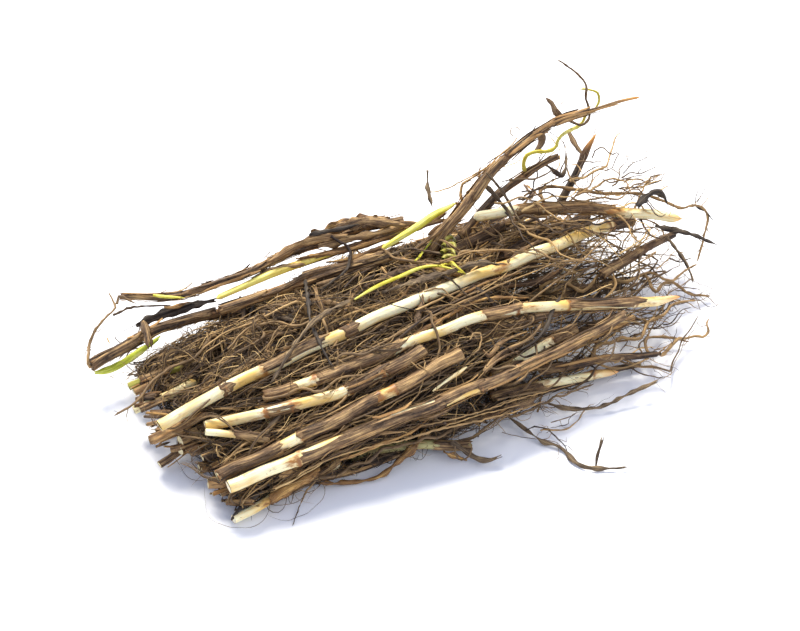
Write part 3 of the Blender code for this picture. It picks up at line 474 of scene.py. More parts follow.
def fibrous_root_strand(stem, draw):
    """A thin root that wanders through the heap along the rhizomes."""
    at = draw.choice(rooting_points(stem))
    heading = stem.points[at + 1] - stem.points[at]
    heading = unit(heading) * draw.choice((-1.0, 1.0))
    heading = heading + np.array([0.0, draw.choice((-1.3, 1.3)), draw.uniform(-0.6, 0.8)])
    points = [stem.points[at]]
    for _ in range(int(draw.uniform(*ROOT_LENGTH) / STEP)):
        heading = unit(heading)
        points.append(points[-1] + STEP * heading)
        x, y, z = points[-1]
        turn = np.array([draw.gauss(0.12 * heading[0], 0.25), draw.gauss(0.0, 0.25), draw.gauss(0.0, 0.2)])
        if z > heap(x, y):
            turn += (0.0, 0.8 * np.sign(np.interp(x, HEAP_X, HEAP_MIDDLE) - y), -0.5)
        if z < 2.0:
            turn[2] += 0.5
        if not HEAP_ENDS[0] < x < HEAP_ENDS[1]:
            turn[0] -= 0.8 * np.sign(x)
        heading = heading + turn * min(1.0, SHARPEST_TURN / np.linalg.norm(turn))
    radii = np.linspace(1.0, 0.8, len(points)) * ROOT_D / 2
    return Strand(stem.node, np.array(points), radii, (0.01, 0.01), stem, at)


def segments(strands):
    """The indices of the first point of each segment, and the strand of each."""
    starts = np.cumsum([0] + [len(s.points) for s in strands])
    first = np.concatenate([np.arange(a, b - 1) for a, b in zip(starts, starts[1:])])
    owner = np.concatenate([np.full(len(s.points) - 1, k) for k, s in enumerate(strands)])
    return starts, first, owner


def near_pairs(points, radius, first, owner, strands, starts, slack):
    """Pairs of segments of different strands that come close, and the gap that each pair keeps."""
    middle = (points[first] + points[first + 1]) / 2
    half = np.linalg.norm(points[first + 1] - points[first], axis=1) / 2
    reach = half + np.maximum(radius[first], radius[first + 1])
    tree = KDTree(len(first))
    for k, m in enumerate(middle):
        tree.insert(m, k)
    tree.balance()
    widest = reach.max()
    pairs = []
    for i in range(len(first)):
        for _, j, distance in tree.find_range(middle[i], reach[i] + widest + slack):
            if j > i and owner[i] != owner[j] and distance < reach[i] + reach[j] + slack:
                a, b = strands[owner[i]], strands[owner[j]]
                at_a, at_b = first[i] - starts[owner[i]], first[j] - starts[owner[j]]
                joined = (a.stem is b and at_a < 2) or (b.stem is a and at_b < 2)
                if not joined:
                    pairs.append((i, j, SAME_NODE_GAP if a.node == b.node else NODE_GAP))
    return np.array(pairs).reshape(-1, 3)


def closest(points, first, i, j):
    """Where along each segment of a pair the two come closest, and the line between."""
    start_i, start_j = points[first[i]], points[first[j]]
    run_i, run_j = points[first[i] + 1] - start_i, points[first[j] + 1] - start_j
    apart = start_i - start_j
    a, e = (run_i * run_i).sum(1), (run_j * run_j).sum(1)
    b, c, f = (run_i * run_j).sum(1), (run_i * apart).sum(1), (run_j * apart).sum(1)
    s = np.clip((b * f - c * e) / np.maximum(a * e - b * b, 1e-6), 0.0, 1.0)
    t = np.clip((b * s + f) / e, 0.0, 1.0)
    s = np.clip((b * t - c) / a, 0.0, 1.0)
    line = apart + run_i * s[:, None] - run_j * t[:, None]
    return s, t, line, np.linalg.norm(line, axis=1)


def relax(strands, moving, rounds):
    """Push the moving strands off the others while they keep their shape and place."""
    starts, first, owner = segments(strands)
    points = np.concatenate([s.points for s in strands])
    radius = np.concatenate([s.radii for s in strands])
    home = points.copy()
    loose = np.concatenate([np.full(len(s.points), 1.0 if s in moving else 0.0) for s in strands])
    hold = np.concatenate([np.tile(s.hold, (len(s.points), 1)) for s in strands])
    length = np.linalg.norm(points[first + 1] - points[first], axis=1)
    inner = np.concatenate([np.arange(a + 1, b - 1) for a, b in zip(starts, starts[1:])])
    bend = points[inner] - (points[inner - 1] + points[inner + 1]) / 2
    glued = [(starts[k], starts[strands.index(s.stem)] + s.at) for k, s in enumerate(strands) if s.stem]
    for turn in range(rounds):
        if turn % ROUNDS_PER_LOOK == 0:
            pairs = near_pairs(points, radius, first, owner, strands, starts, NEAR)
            i, j, gap = pairs[:, 0].astype(int), pairs[:, 1].astype(int), pairs[:, 2]
        s, t, line, distance = closest(points, first, i, j)
        r_i = radius[first[i]] * (1 - s) + radius[first[i] + 1] * s
        r_j = radius[first[j]] * (1 - t) + radius[first[j] + 1] * t
        depth = np.maximum(0.0, r_i + r_j + gap - distance)
        w_i, w_j = loose[first[i]], loose[first[j]]
        push = line / np.maximum(distance, 1e-4)[:, None] * (depth / np.maximum(w_i + w_j, 1e-6))[:, None]
        move, count = np.zeros_like(points), np.full(len(points), TINY)
        for seg, share, sign, weight in ((i, s, 1.0, w_i), (j, t, -1.0, w_j)):
            for end, part in ((0, 1 - share), (1, share)):
                np.add.at(move, first[seg] + end, push * (sign * weight * part * (depth > 0))[:, None])
                np.add.at(count, first[seg] + end, part * (depth > 0) * weight)
        points += OVERSHOOT * move / np.maximum(count, 1.0)[:, None]
        change = bend - (points[inner] - (points[inner - 1] + points[inner + 1]) / 2)
        shift = np.zeros_like(points)
        np.add.at(shift, inner, BEND_HOLD * change)
        np.add.at(shift, inner - 1, -BEND_REACTION * change)
        np.add.at(shift, inner + 1, -BEND_REACTION * change)
        run = points[first + 1] - points[first]
        now = np.linalg.norm(run, axis=1)
        pull = run * (LENGTH_HOLD * (now - length) / now)[:, None]
        np.add.at(shift, first, pull)
        np.add.at(shift, first + 1, -pull)
        away = home - points
        along = (away @ BACK)[:, None] * BACK
        fade = 1.0 if turn < rounds * HOME_ROUNDS else LATE_HOLD
        shift += fade * (hold[:, :1] * (away - along) + hold[:, 1:] * along)
        points += shift * loose[:, None]
        points[:, 2] = np.maximum(points[:, 2], radius - SINK)
        for child, parent in glued:
            points[child] = points[parent]
    for k, strand in enumerate(strands):
        if strand in moving:
            strand.points = points[starts[k]:starts[k + 1]]


def lay_out():
    """Every strand of the clump, laid out and pushed clear as in the part's source."""
    draw = random.Random(ROOT_SEED)
    stems = [rhizome_strand(name, spec) for name, spec in RHIZOMES.items()]
    hidden = [hidden_strand(k, *spec) for k, spec in enumerate(HIDDEN)]
    rhizomes = stems + hidden
    relax(rhizomes, rhizomes, RHIZOME_ROUNDS)
    for _ in range(STRAIGHTENINGS):
        for strand in rhizomes:
            strand.points = settled(strand.points, STRAIGHTENING_ROUNDS)
        relax(rhizomes, rhizomes, AGAIN_ROUNDS)
    leaves = [leaf_strand(name, leaf[0], leaf[2]) for name, leaf in LEAVES.items()]
    bare = []
    for spec in BARE_ROOTS:
        bare.append(bare_root_strand(rhizomes + bare, *spec))
    relax(rhizomes + bare + leaves, bare + leaves, BARE_ROUNDS)
    rooting = [stem for stem in rhizomes if rooting_points(stem)]
    fibrous = [fibrous_root_strand(stem, draw) for stem in rooting for _ in range(ROOTS_PER_RHIZOME)]
    relax(rhizomes + bare + leaves + fibrous, fibrous, FIBROUS_ROUNDS)
    return stems, hidden, bare, leaves, fibrous


def linear(*colour):
    """A colour given as it looks on a screen, 0 to 255, in the linear values that shaders take."""
    return tuple(((v / 255 + 0.055) / 1.055) ** 2.4 for v in colour)


class Surface:
    """A procedural material under construction."""

    def __init__(self, name, roughness, specular=0.4):
        self.material = bpy.data.materials.new(name)
        self.material.use_nodes = True
        self.tree = self.material.node_tree
        self.shader = self.tree.nodes["Principled BSDF"]
        self.shader.inputs["Roughness"].default_value = roughness
        self.shader.inputs["Specular IOR Level"].default_value = specular

    def put(self, socket, value):
        if isinstance(value, bpy.types.NodeSocket):
            self.tree.links.new(value, socket)
        else:
            socket.default_value = value

    def attribute(self, name):
        node = self.tree.nodes.new("ShaderNodeAttribute")
        node.attribute_name = name
        return node.outputs["Vector"]

    def parts(self, vector):
        node = self.tree.nodes.new("ShaderNodeSeparateXYZ")
        self.put(node.inputs[0], vector)
        return node.outputs

    def noise(self, vector, scale, detail=2.0, roughness=0.5, stretch=(1.0, 1.0, 1.0)):
        """Noise over a vector, with a scale for each of its directions."""
        mapping = self.tree.nodes.new("ShaderNodeMapping")
        mapping.inputs["Scale"].default_value = stretch
        self.put(mapping.inputs["Vector"], vector)
        node = self.tree.nodes.new("ShaderNodeTexNoise")
        node.inputs["Scale"].default_value = scale
        node.inputs["Detail"].default_value = detail
        node.inputs["Roughness"].default_value = roughness
        self.put(node.inputs["Vector"], mapping.outputs[0])
        return node.outputs["Fac"]

    def ramp(self, factor, *stops):
        """A colour for each stop of a factor."""
        node = self.tree.nodes.new("ShaderNodeValToRGB")
        while len(node.color_ramp.elements) < len(stops):
            node.color_ramp.elements.new(0.5)
        for element, (place, colour) in zip(node.color_ramp.elements, stops):
            element.position = place
            element.color = (*colour, 1.0)
        self.put(node.inputs["Fac"], factor)
        return node.outputs["Color"]

    def step(self, factor, low, high):
        """0 below the low value, 1 above the high one."""
        node = self.tree.nodes.new("ShaderNodeMapRange")
        node.inputs["From Min"].default_value = low
        node.inputs["From Max"].default_value = high
        self.put(node.inputs["Value"], factor)
        return node.outputs["Result"]

    def math(self, operation, a, b):
        node = self.tree.nodes.new("ShaderNodeMath")
        node.operation = operation
        self.put(node.inputs[0], a)
        self.put(node.inputs[1], b)
        return node.outputs[0]

    def plus(self, a, b):
        return self.math("ADD", a, b)

    def times(self, a, b):
        return self.math("MULTIPLY", a, b)

    def mix(self, factor, a, b):
        node = self.tree.nodes.new("ShaderNodeMix")
        node.data_type = "RGBA"
        self.put(node.inputs["Factor"], factor)
        self.put(node.inputs["A"], a if isinstance(a, bpy.types.NodeSocket) else (*a, 1.0))
        self.put(node.inputs["B"], b if isinstance(b, bpy.types.NodeSocket) else (*b, 1.0))
        return node.outputs["Result"]

    def finish(self, colour, height, depth, distance=0.0002):
        """Set the base colour, and the bump from a height."""
        self.put(self.shader.inputs["Base Color"], colour)
        bump = self.tree.nodes.new("ShaderNodeBump")
        bump.inputs["Strength"].default_value = depth
        bump.inputs["Distance"].default_value = distance
        self.put(bump.inputs["Height"], height)
        self.put(self.shader.inputs["Normal"], bump.outputs["Normal"])
        return self.material


def pale_surface(name, light, warm, stain):
    """A smooth internode: fine lengthwise lines, yellow shading, freckles and stained joints."""
    light, warm, stain = linear(*light), linear(*warm), linear(*stain)
    s = Surface(name, 0.4)
    grain, tone = s.attribute("grain"), s.parts(s.attribute("tone"))
    joint, cut, dirt = tone[0], tone[1], tone[2]
    broad = s.noise(grain, 0.35, 2.0, stretch=(1.0, 1.0, 0.35))
    lines = s.noise(grain, 2.6, 4.0, 0.62, stretch=(1.0, 1.0, 0.045))
    colour = s.mix(s.step(broad, 0.42, 0.68), light, warm)
    colour = s.mix(s.step(lines, 0.52, 0.74), colour, warm)
    thin_lines = s.noise(grain, 6.0, 3.0, 0.6, stretch=(1.0, 1.0, 0.03))
    colour = s.mix(s.times(s.step(thin_lines, 0.58, 0.74), 0.4), colour, stain)
    patch = s.noise(grain, 0.6, 4.0, 0.65, stretch=(1.0, 1.0, 0.4))
    near = s.plus(s.times(joint, 0.3), s.times(dirt, 0.24))
    stained = s.step(s.plus(patch, near), 0.66, 0.82)
    colour = s.mix(stained, colour, stain)
    freckle = s.noise(grain, 2.0, 2.0, 0.6, stretch=(1.0, 1.0, 0.6))
    speckled = s.step(s.plus(freckle, s.times(joint, 0.08)), 0.68, 0.75)
    colour = s.mix(s.times(speckled, 0.75), colour, linear(164, 106, 48))
    colour = s.mix(s.step(joint, 0.55, 0.95), colour, linear(146, 100, 58))
    colour = s.mix(s.times(s.step(cut, 0.0, -1.0), 0.9), colour, linear(226, 158, 84))
    pith = s.noise(grain, 4.0, 3.0)
    colour = s.mix(cut, colour, s.ramp(pith, (0.3, linear(226, 208, 150)), (0.6, linear(255, 250, 228))))
    s.shader.inputs["Subsurface Weight"].default_value = 0.12
    s.shader.inputs["Subsurface Radius"].default_value = (0.0012, 0.0008, 0.0004)
    return s.finish(colour, s.plus(lines, s.times(freckle, 0.3)), 0.35)


def striped_surface(name, colours, dust, depth=0.8, roughness=0.62):
    """A dry, ribbed skin: dark to light stripes along the fibres, with dust and dark stains."""
    dark, middle, light = (linear(*colour) for colour in colours)
    s = Surface(name, roughness, 0.3)
    grain, tone = s.attribute("grain"), s.parts(s.attribute("tone"))
    stripes = s.noise(grain, 2.6, 5.0, 0.7, stretch=(1.0, 1.0, 0.05))
    fine = s.noise(grain, 7.5, 3.0, 0.6, stretch=(1.0, 1.0, 0.04))
    blotch = s.noise(grain, 0.5, 4.0, 0.62, stretch=(1.0, 1.0, 0.35))
    mixed = s.plus(s.times(stripes, 0.6), s.times(blotch, 0.4))
    mixed = s.math("SUBTRACT", mixed, s.times(tone[2], 0.07))
    colour = s.ramp(mixed, (0.40, dark), (0.5, middle), (0.60, light))
    colour = s.mix(s.times(s.step(fine, 0.48, 0.66), 0.75), colour, dark)
    powder = s.noise(grain, 1.6, 5.0, 0.7)
    colour = s.mix(s.times(s.step(powder, 0.55, 0.74), 0.4), colour, linear(*dust))
    colour = s.mix(s.times(tone[2], 0.6), colour, linear(40, 28, 20))
    colour = s.mix(s.times(s.step(tone[2], 0.0, -1.0), 0.55), colour, linear(176, 128, 72))
    colour = s.mix(s.times(tone[0], 0.6), colour, linear(122, 84, 50))
    colour = s.mix(s.step(tone[1], 0.0, -1.0), colour, linear(222, 156, 80))
    colour = s.mix(tone[1], colour, linear(236, 222, 176))
    return s.finish(colour, s.plus(stripes, s.times(fine, 0.6)), depth)


def root_surface(name, *stops):
    """Fine roots, each with a tone of its own, darkened by tone z: real dirt on the loose roots, painted
    shade by depth in the mats.
    """
    s = Surface(name, 0.6, 0.3)
    grain, tone = s.attribute("grain"), s.parts(s.attribute("tone"))
    uneven = s.noise(grain, 1.1, 3.0, 0.6, stretch=(1.0, 1.0, 0.4))
    shade = s.plus(tone[0], s.times(s.math("SUBTRACT", uneven, 0.5), 0.9))
    colour = s.ramp(shade, *((place, linear(*colour)) for place, colour in stops))
    powder = s.noise(grain, 3.0, 4.0, 0.7)
    colour = s.mix(s.times(s.step(powder, 0.58, 0.74), 0.3), colour, linear(140, 122, 98))
    # Tone z darkens towards near-black: real dirt on loose roots, painted shade by depth under the heap for
    # the mats.
    colour = s.mix(s.times(tone[2], 0.85), colour, linear(24, 16, 12))
    return s.finish(colour, s.plus(uneven, powder), 0.5, 0.0001)


class Shape:
    """The mesh of one piece, gathered part by part: places, faces and what its materials read."""

    def __init__(self):
        self.points, self.faces, self.slots, self.grain, self.tone = [], [], [], [], []
        self.count = 0

    def add(self, points, faces, grain, tone, slot=0):
        self.points.append(points.reshape(-1, 3))
        self.grain.append(grain.reshape(-1, 3))
        self.tone.append(tone.reshape(-1, 3))
        self.faces += (faces + self.count).tolist()
        self.slots += [slot] * len(faces)
        self.count += len(self.points[-1])

    def piece(self, name, materials, *nodes, slot=None):
        """Make the object, which rides on the one body and stands for CAD nodes. The slot argument is not
        used."""
        points = np.concatenate(self.points) + FRAME_SHIFT
        points = np.clip(points, LOWEST, HIGHEST) * MM
        mesh = bpy.data.meshes.new(name)
        mesh.from_pydata(points.tolist(), [], self.faces)
        for label, values in (("grain", self.grain), ("tone", self.tone)):
            attribute = mesh.attributes.new(label, "FLOAT_VECTOR", "POINT")
            attribute.data.foreach_set("vector", np.concatenate(values).astype(np.float32).ravel())
        for material in materials:
            mesh.materials.append(material)
        mesh.polygons.foreach_set("material_index", self.slots)
        mesh.polygons.foreach_set("use_smooth", [True] * len(mesh.polygons))
        mesh.update()
        piece = bpy.data.objects.new(name, mesh)
        bpy.context.scene.collection.objects.link(piece)
        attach(piece, "root")
        if nodes:
            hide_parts(*nodes)


def spokes(angle, across, over):
    """Directions out from a line, at angles round it."""
    return np.cos(angle)[..., None] * across + np.sin(angle)[..., None] * over


def tube_grain(radius, angle, run):
    """What the skins read to lay their grain along a tube."""
    return np.stack(np.broadcast_arrays(radius * np.cos(angle), radius * np.sin(angle), run), axis=-1)


def raised(places, height):
    """Places, lifted where they lie lower than a height."""
    places[..., 2] = np.maximum(places[..., 2], height)
    return places


def grid_faces(rows, columns, closed):
    """Quads between the points of a grid; closed joins its last column to the first."""
    index = np.arange(rows * columns).reshape(rows, columns)
    after = np.roll(index, -1, axis=1) if closed else index[:, 1:]
    before = index if closed else index[:, :-1]
    return np.stack([before[:-1], after[:-1], after[1:], before[1:]], axis=-1).reshape(-1, 4)


class Line:
    """A fine line with directions across and over it, to place a surface round."""

    def __init__(self, points, radii, step, facing=False):
        fine = smooth(points, step)
        old = run_of(points)
        self.points = fine
        self.run = run_of(fine)
        self.length = self.run[-1]
        self.radii = np.interp(self.run / self.length, old / old[-1], radii)
        self.tangent = unit(np.gradient(fine, axis=0))
        side = np.cross(self.tangent[0], BACK)
        if np.linalg.norm(side) < 0.2:
            side = np.cross(self.tangent[0], RIGHT)
        across = []
        for t in self.tangent:
            if facing:
                toward = np.cross(t, BACK)
                if np.linalg.norm(toward) > 0.3:
                    side = 0.7 * side + 0.3 * (toward if toward @ side > 0 else -toward)
            side = unit(side - (side @ t) * t)
            across.append(side)
        self.across = np.array(across)
        self.over = np.cross(self.tangent, self.across)
        self.columns = seen(fine)[0]

    def at(self, run, values):
        """Values of the line at any distances along it."""
        flat = [np.interp(run.ravel(), self.run, values[:, k]) for k in range(3)]
        return np.stack(flat, axis=1).reshape(*run.shape, 3)

    def frame_at(self, run):
        """The middle of the line and its directions across and over, at distances along it."""
        return self.at(run, self.points), self.at(run, self.across), self.at(run, self.over)

    def radius_at(self, run):
        return np.interp(run.ravel(), self.run, self.radii).reshape(run.shape)

    def where(self, column):
        """How far along the line the camera sees a column."""
        order = np.argsort(self.columns)
        return float(np.interp(column, self.columns[order], self.run[order]))


def ripples(draw, run, angle, waves):
    """A sum of smooth waves along and around a tube: (how many, size, most turns, pace) for each."""
    total = np.zeros(np.broadcast(run, angle).shape)
    for count, size, turns, pace in waves:
        for _ in range(count):
            around = draw.randint(turns[0], turns[1])
            total += size * np.sin(around * angle + draw.uniform(-pace, pace) * run + draw.uniform(0, PHASE))
    return total


def bump_at(run, place, width):
    """A rounded swelling of height 1 about a place."""
    return np.exp(-((run - place) / width) ** 2)


SMOOTH_SKIN = ((4, 0.007, (4, 9), 0.05), (4, 0.014, (0, 3), 0.35))
DRY_SKIN = ((7, 0.016, (5, 12), 0.10), (5, 0.022, (1, 4), 0.4), (4, 0.012, (0, 6), 1.6))
STEM_SIDES = 22
HIDDEN_SIDES = 10
STEM_STEP = 0.7
# The rings of an end face, as shares of the radius.
CAP_RINGS = (1.0, 0.93, 0.88, 0.6, 0.3, 0.04)


def add_stem(shape, line, draw, waves, joints, cuts, slot, sides, dirt, tip=0.0):
    """A rhizome: a tube with ribs, rings at its joints, cut or rounded ends, and an orange tip."""
    angle = np.linspace(0.0, 2 * math.pi, sides, endpoint=False)[None, :]
    run = line.run[:, None]
    radius = line.radii[:, None] * (1.0 + ripples(draw, run, angle, waves))
    ring = np.zeros_like(run)
    for joint in joints:
        lean = 0.25 * np.sin(angle + draw.uniform(0, PHASE))
        radius = radius + 0.13 * bump_at(run + lean, joint, 0.4) + 0.07 * bump_at(run, joint, 1.5)
        radius = radius - 0.07 * bump_at(run + lean, joint + 0.7, 0.2)
        radius = radius - 0.05 * bump_at(run + lean, joint - 0.7, 0.2)
        ring = np.maximum(ring, bump_at(run + lean, joint, 0.42))
        ring = np.maximum(ring, 0.45 * bump_at(run, joint, 2.4))
    if not cuts[0]:
        radius = radius * np.sqrt(np.clip(0.10 + run / (0.9 * line.radii[0]), 0.0, 1.0))
    if not cuts[1]:
        radius = radius * np.sqrt(np.clip(0.10 + (line.length - run) / (0.9 * line.radii[-1]), 0.0, 1.0))
    spoke = spokes(angle, line.across[:, None], line.over[:, None])
    points = line.points[:, None] + radius[..., None] * spoke
    offset = draw.uniform(0, GRAIN_SHIFT)
    grain = tube_grain(radius, angle, run + offset)
    tone = np.zeros(points.shape)
    tone[..., 0] = ring
    if tip:
        tone[..., 1] = -np.clip((run - line.length + tip) / tip, 0.0, 1.0)
    tone[..., 2] = dirt
    shape.add(points, grid_faces(len(line.points), sides, True), grain, tone, slot)
    for end, cut in ((0, cuts[0]), (-1, cuts[1])):
        add_cap(shape, line, end, radius[end], angle[0], offset, cut, draw, slot)


def add_cap(shape, line, end, radius, angle, offset, cut, draw, slot):
    """The end face of a rhizome: a cut shows its pale, slightly rough inside and a darker rim."""
    outward = line.tangent[end] * (-1.0 if end == 0 else 1.0)
    slant = draw.uniform(0.1, 0.45) if cut else 0.0
    lean = draw.uniform(0, PHASE)
    rings, grains, tones = [], [], []
    for share in CAP_RINGS:
        flat = radius[:, None] * share * spokes(angle, line.across[end], line.over[end])
        rise = slant * share * radius * np.cos(angle - lean) * 0.5
        if cut:
            rough = np.array([draw.uniform(-0.05, 0.05) for _ in angle])
            rise = rise + (0.10 if share > 0.9 else -0.06 if share < 0.2 else 0.04) + rough * (share < 0.9)
        rings.append(line.points[end] + flat + outward * np.maximum(rise, 0.0)[:, None])
        grains.append(tube_grain(radius * share, angle, offset + line.run[end]))
        tones.append(np.tile([0.8 if share > 0.9 else 0.0, 1.0 if cut and share < 0.9 else 0.0, 0.0],
                             (len(angle), 1)))
    faces = grid_faces(len(rings), len(angle), True)
    centre = np.arange(len(angle)) + (len(rings) - 1) * len(angle)
    if end == 0:
        faces = faces[:, ::-1]
        centre = centre[::-1]
    shape.add(np.array(rings), faces, np.array(grains), np.array(tones), slot)
    shape.faces.append((centre + shape.count - len(rings) * len(angle)).tolist())
    shape.slots.append(slot)


def add_sheet(shape, grid, thickness, grain, tone, slot=0):
    """A thin sheet with two faces and a rim, over a grid of places."""
    normal = unit(np.cross(np.gradient(grid, axis=1), np.gradient(grid, axis=0)))
    rows, columns = grid.shape[:2]
    front = grid_faces(rows, columns, False)
    index = np.arange(rows * columns).reshape(rows, columns)
    edge = np.concatenate([index[0, :-1], index[:-1, -1], index[-1, :0:-1], index[:0:-1, 0]])
    after = np.roll(edge, -1)
    count = rows * columns
    rim = np.stack([after, edge, edge + count, after + count], axis=-1)
    faces = np.concatenate([front, front[:, ::-1] + count, rim])
    both = np.concatenate([(grid + normal * thickness / 2).reshape(-1, 3),
                           (grid - normal * thickness / 2).reshape(-1, 3)])
    shape.add(both, faces, np.tile(grain.reshape(-1, 3), (2, 1)), np.tile(tone.reshape(-1, 3), (2, 1)), slot)


def ragged(draw, count, depth, spikes):
    """How far a torn edge runs out at each of its columns: slanted, with tongues and splits."""
    turn = np.arange(count) / count * 2 * math.pi
    edge = 0.45 * np.sin(turn + draw.uniform(0, PHASE))
    for turns in (2, 3, 5, 8):
        edge += 0.16 * np.sin(turn * turns + draw.uniform(0, PHASE))
    for place in sorted(draw.sample(range(count), min(count, spikes))):
        width = draw.uniform(0.5, 1.8)
        edge += draw.uniform(-0.5, 0.9) * np.exp(-((np.arange(count) - place) / width) ** 2)
    return depth * edge


SHEATH_COLUMNS = 24
SHEATH_STEP = 0.7
SHEATH_LIFT = 0.10
SHEATH_TEARS = (0.7, 1.8)


def add_sheath(shape, line, start, end, draw, slot, wrap, opening, dirt, flare):
    """A leaf sheath rolled round a rhizome, torn at its ends, its free edges a little raised."""
    columns = SHEATH_COLUMNS
    wrap = wrap or draw.uniform(1.04, 1.14)
    opening = draw.uniform(0, PHASE) if opening is None else opening
    rows = max(8, int((end - start) / SHEATH_STEP))
    turn = np.linspace(0.0, wrap, columns)
    first = opening + math.pi * max(0.0, 1.0 - wrap)
    low = start - ragged(draw, columns, SHEATH_TEARS[0], 9)
    high = end + ragged(draw, columns, SHEATH_TEARS[1], 10)
    share = np.linspace(0.0, 1.0, rows)[:, None]
    run = np.clip(low + (high - low) * share, 0.0, line.length)
    angle = first + 2 * math.pi * turn + draw.uniform(-0.02, 0.02) * (run - start)
    if wrap < 1.0:
        edges = np.exp(-turn / 0.05) - np.exp(-(wrap - turn) / 0.05)
        angle = angle + edges * 0.35 * ripples(draw, run, 0.0 * run, ((3, 0.5, (0, 0), 0.5),))
    waves = ((8, 0.014, (6, 14), 0.05), (3, 0.02, (1, 3), 0.25))
    radius = line.radius_at(run) * (1.0 + ripples(draw, run, angle, waves))
    lip = np.array([max(0.0, draw.gauss(0.05, 0.4)) for _ in range(columns)])
    lip = np.convolve(np.pad(lip, 2, mode="edge"), np.ones(5) / 5, mode="valid")
    opened = np.clip((run - (end - 3.5)) / 3.5, 0.0, 1.6) ** 2
    at_edges = np.exp(-turn / 0.03) + np.exp(-(wrap - turn) / 0.03)
    radius = radius + SHEATH_LIFT + 0.07 * turn + lip * opened * flare
    radius = radius + 0.10 * at_edges * (0.6 + 0.4 * np.sin(run * 0.9 + draw.uniform(0, PHASE)))
    centre, across, over = line.frame_at(run)
    grid = centre + radius[..., None] * spokes(angle, across, over)
    grain = tube_grain(radius, angle, run + draw.uniform(0, GRAIN_SHIFT))
    tone = np.zeros(grid.shape)
    tone[..., 0] = np.clip(1.0 - (run - low) / 1.2, 0.0, 1.0) * 0.7
    tone[..., 2] = dirt
    add_sheet(shape, grid, 0.08, grain, tone, slot)


def add_peels(shape, line, start, end, count, draw, slot):
    """Narrow strips of old sheath that peel from a rhizome and lie along it."""
    for _ in range(count):
        length = min(draw.uniform(5.0, 22.0), end - start)
        begin = draw.uniform(start, max(start, end - length))
        stops = max(5, int(length / 1.2))
        run = np.linspace(begin, begin + length, stops)[:, None]
        run = np.clip(run, 0.0, line.length)
        angle = draw.uniform(0, PHASE) + draw.uniform(-0.05, 0.05) * (run - begin)
        share = (run - begin) / length
        ends = draw.uniform(0.0, 1.3) * np.clip((share - 0.7) / 0.3, 0, 1) ** 2
        ends = ends + draw.uniform(0.0, 0.9) * np.clip((0.25 - share) / 0.25, 0, 1) ** 2
        radius = line.radius_at(run) + 0.22 + ends
        radius = radius + 0.12 * np.sin(run * draw.uniform(0.3, 0.8) + draw.uniform(0, PHASE)) + 0.1
        half = draw.uniform(0.10, 0.38) * narrowed(share, 0.3, 5.0)
        across_strip = np.linspace(-1.0, 1.0, 4)[None, :]
        turned = angle + across_strip * half / radius
        high = radius + draw.uniform(-0.12, 0.12) * across_strip
        centre, across, over = line.frame_at(run)
        grid = raised(centre + high[..., None] * spokes(turned, across, over), 0.1)
        grain = np.stack(np.broadcast_arrays(across_strip * half, 0.0, run + draw.uniform(0, GRAIN_SHIFT)),
                         axis=-1)
        tone = np.zeros(grid.shape)
        tone[..., 2] = draw.choice((-1.0, -0.5, 0.0, 0.4, 0.8))
        add_sheet(shape, grid, 0.07, grain, tone, slot)


def add_leaf(shape, line, half_width, draw, fold, twist, dirt, wear=1.0):
    """A dry leaf: a sheet folded about its midrib, twisting and waving along its length."""
    columns = 11 if half_width > 0.95 else 5
    run = line.run[:, None]
    across = np.linspace(-1.0, 1.0, columns)[None, :]
    share = run / line.length
    width = line.radii[:, None] * 1.05
    width = width * (0.9 + 0.16 * wear * np.sin(run * draw.uniform(0.5, 1.1) + draw.uniform(0, PHASE))
                     + 0.12 * wear * np.sin(run * draw.uniform(1.6, 2.6) + draw.uniform(0, PHASE)))
    bent = fold * (1.0 + 0.5 * np.sin(run * draw.uniform(0.15, 0.4) + draw.uniform(0, PHASE)))
    roll = twist * (np.sin(run * draw.uniform(0.08, 0.2) + draw.uniform(0, PHASE))
                    + 0.5 * np.sin(run * draw.uniform(0.3, 0.6) + draw.uniform(0, PHASE)))
    edge = 0.3 * wear * half_width * np.abs(across) ** 2 * np.sin(run * draw.uniform(1.2, 2.2) + 2.0 * across)
    rib = 0.03 * np.cos(across * math.pi * 4.0)
    flat = width * across * np.cos(bent * np.abs(across))
    high = width * np.abs(across) * np.sin(bent * np.abs(across)) + edge + rib
    side = np.cos(roll) * flat - np.sin(roll) * high
    rise = np.sin(roll) * flat + np.cos(roll) * high
    torn = ragged(draw, columns, 1.0, 4) * np.clip((share - 0.85) / 0.15, 0.0, 1.0)
    grid = (line.points[:, None] + side[..., None] * line.across[:, None]
            + rise[..., None] * line.over[:, None] + torn[..., None] * line.tangent[:, None])
    grid = raised(grid, 0.12)
    grain = np.stack([width * across * 1.6, high, run + draw.uniform(0, GRAIN_SHIFT) + 0 * across], axis=-1)
    add_sheet(shape, grid, 0.12, grain, np.zeros(grid.shape) + (0.0, 0.0, dirt))


class Obstacles:
    """The rhizomes, leaves and bold roots as points, to keep fine roots out of them."""

    def __init__(self, lines):
        self.centres = np.concatenate([line.points for line in lines])
        self.radii = np.concatenate([line.radii for line in lines])
        self.tangents = np.concatenate([line.tangent for line in lines])
        self.tree = KDTree(len(self.centres))
        for k, centre in enumerate(self.centres):
            self.tree.insert(centre, k)
        self.tree.balance()

    def clear(self, points, thickness, under):
        """Move points out of the rhizomes, past the side that faces away from the camera if under."""
        for k, point in enumerate(points):
            _, index, distance = self.tree.find(point)
            room = self.radii[index] + 0.25 + thickness[k]
            if distance < room:
                away = point - self.centres[index]
                facing = away @ BACK
                if under[k] and facing > -0.2:
                    away = away - (facing + 0.35 * room) * BACK
                points[k] = self.centres[index] + away * (room / max(np.linalg.norm(away), 1e-6))
        return points


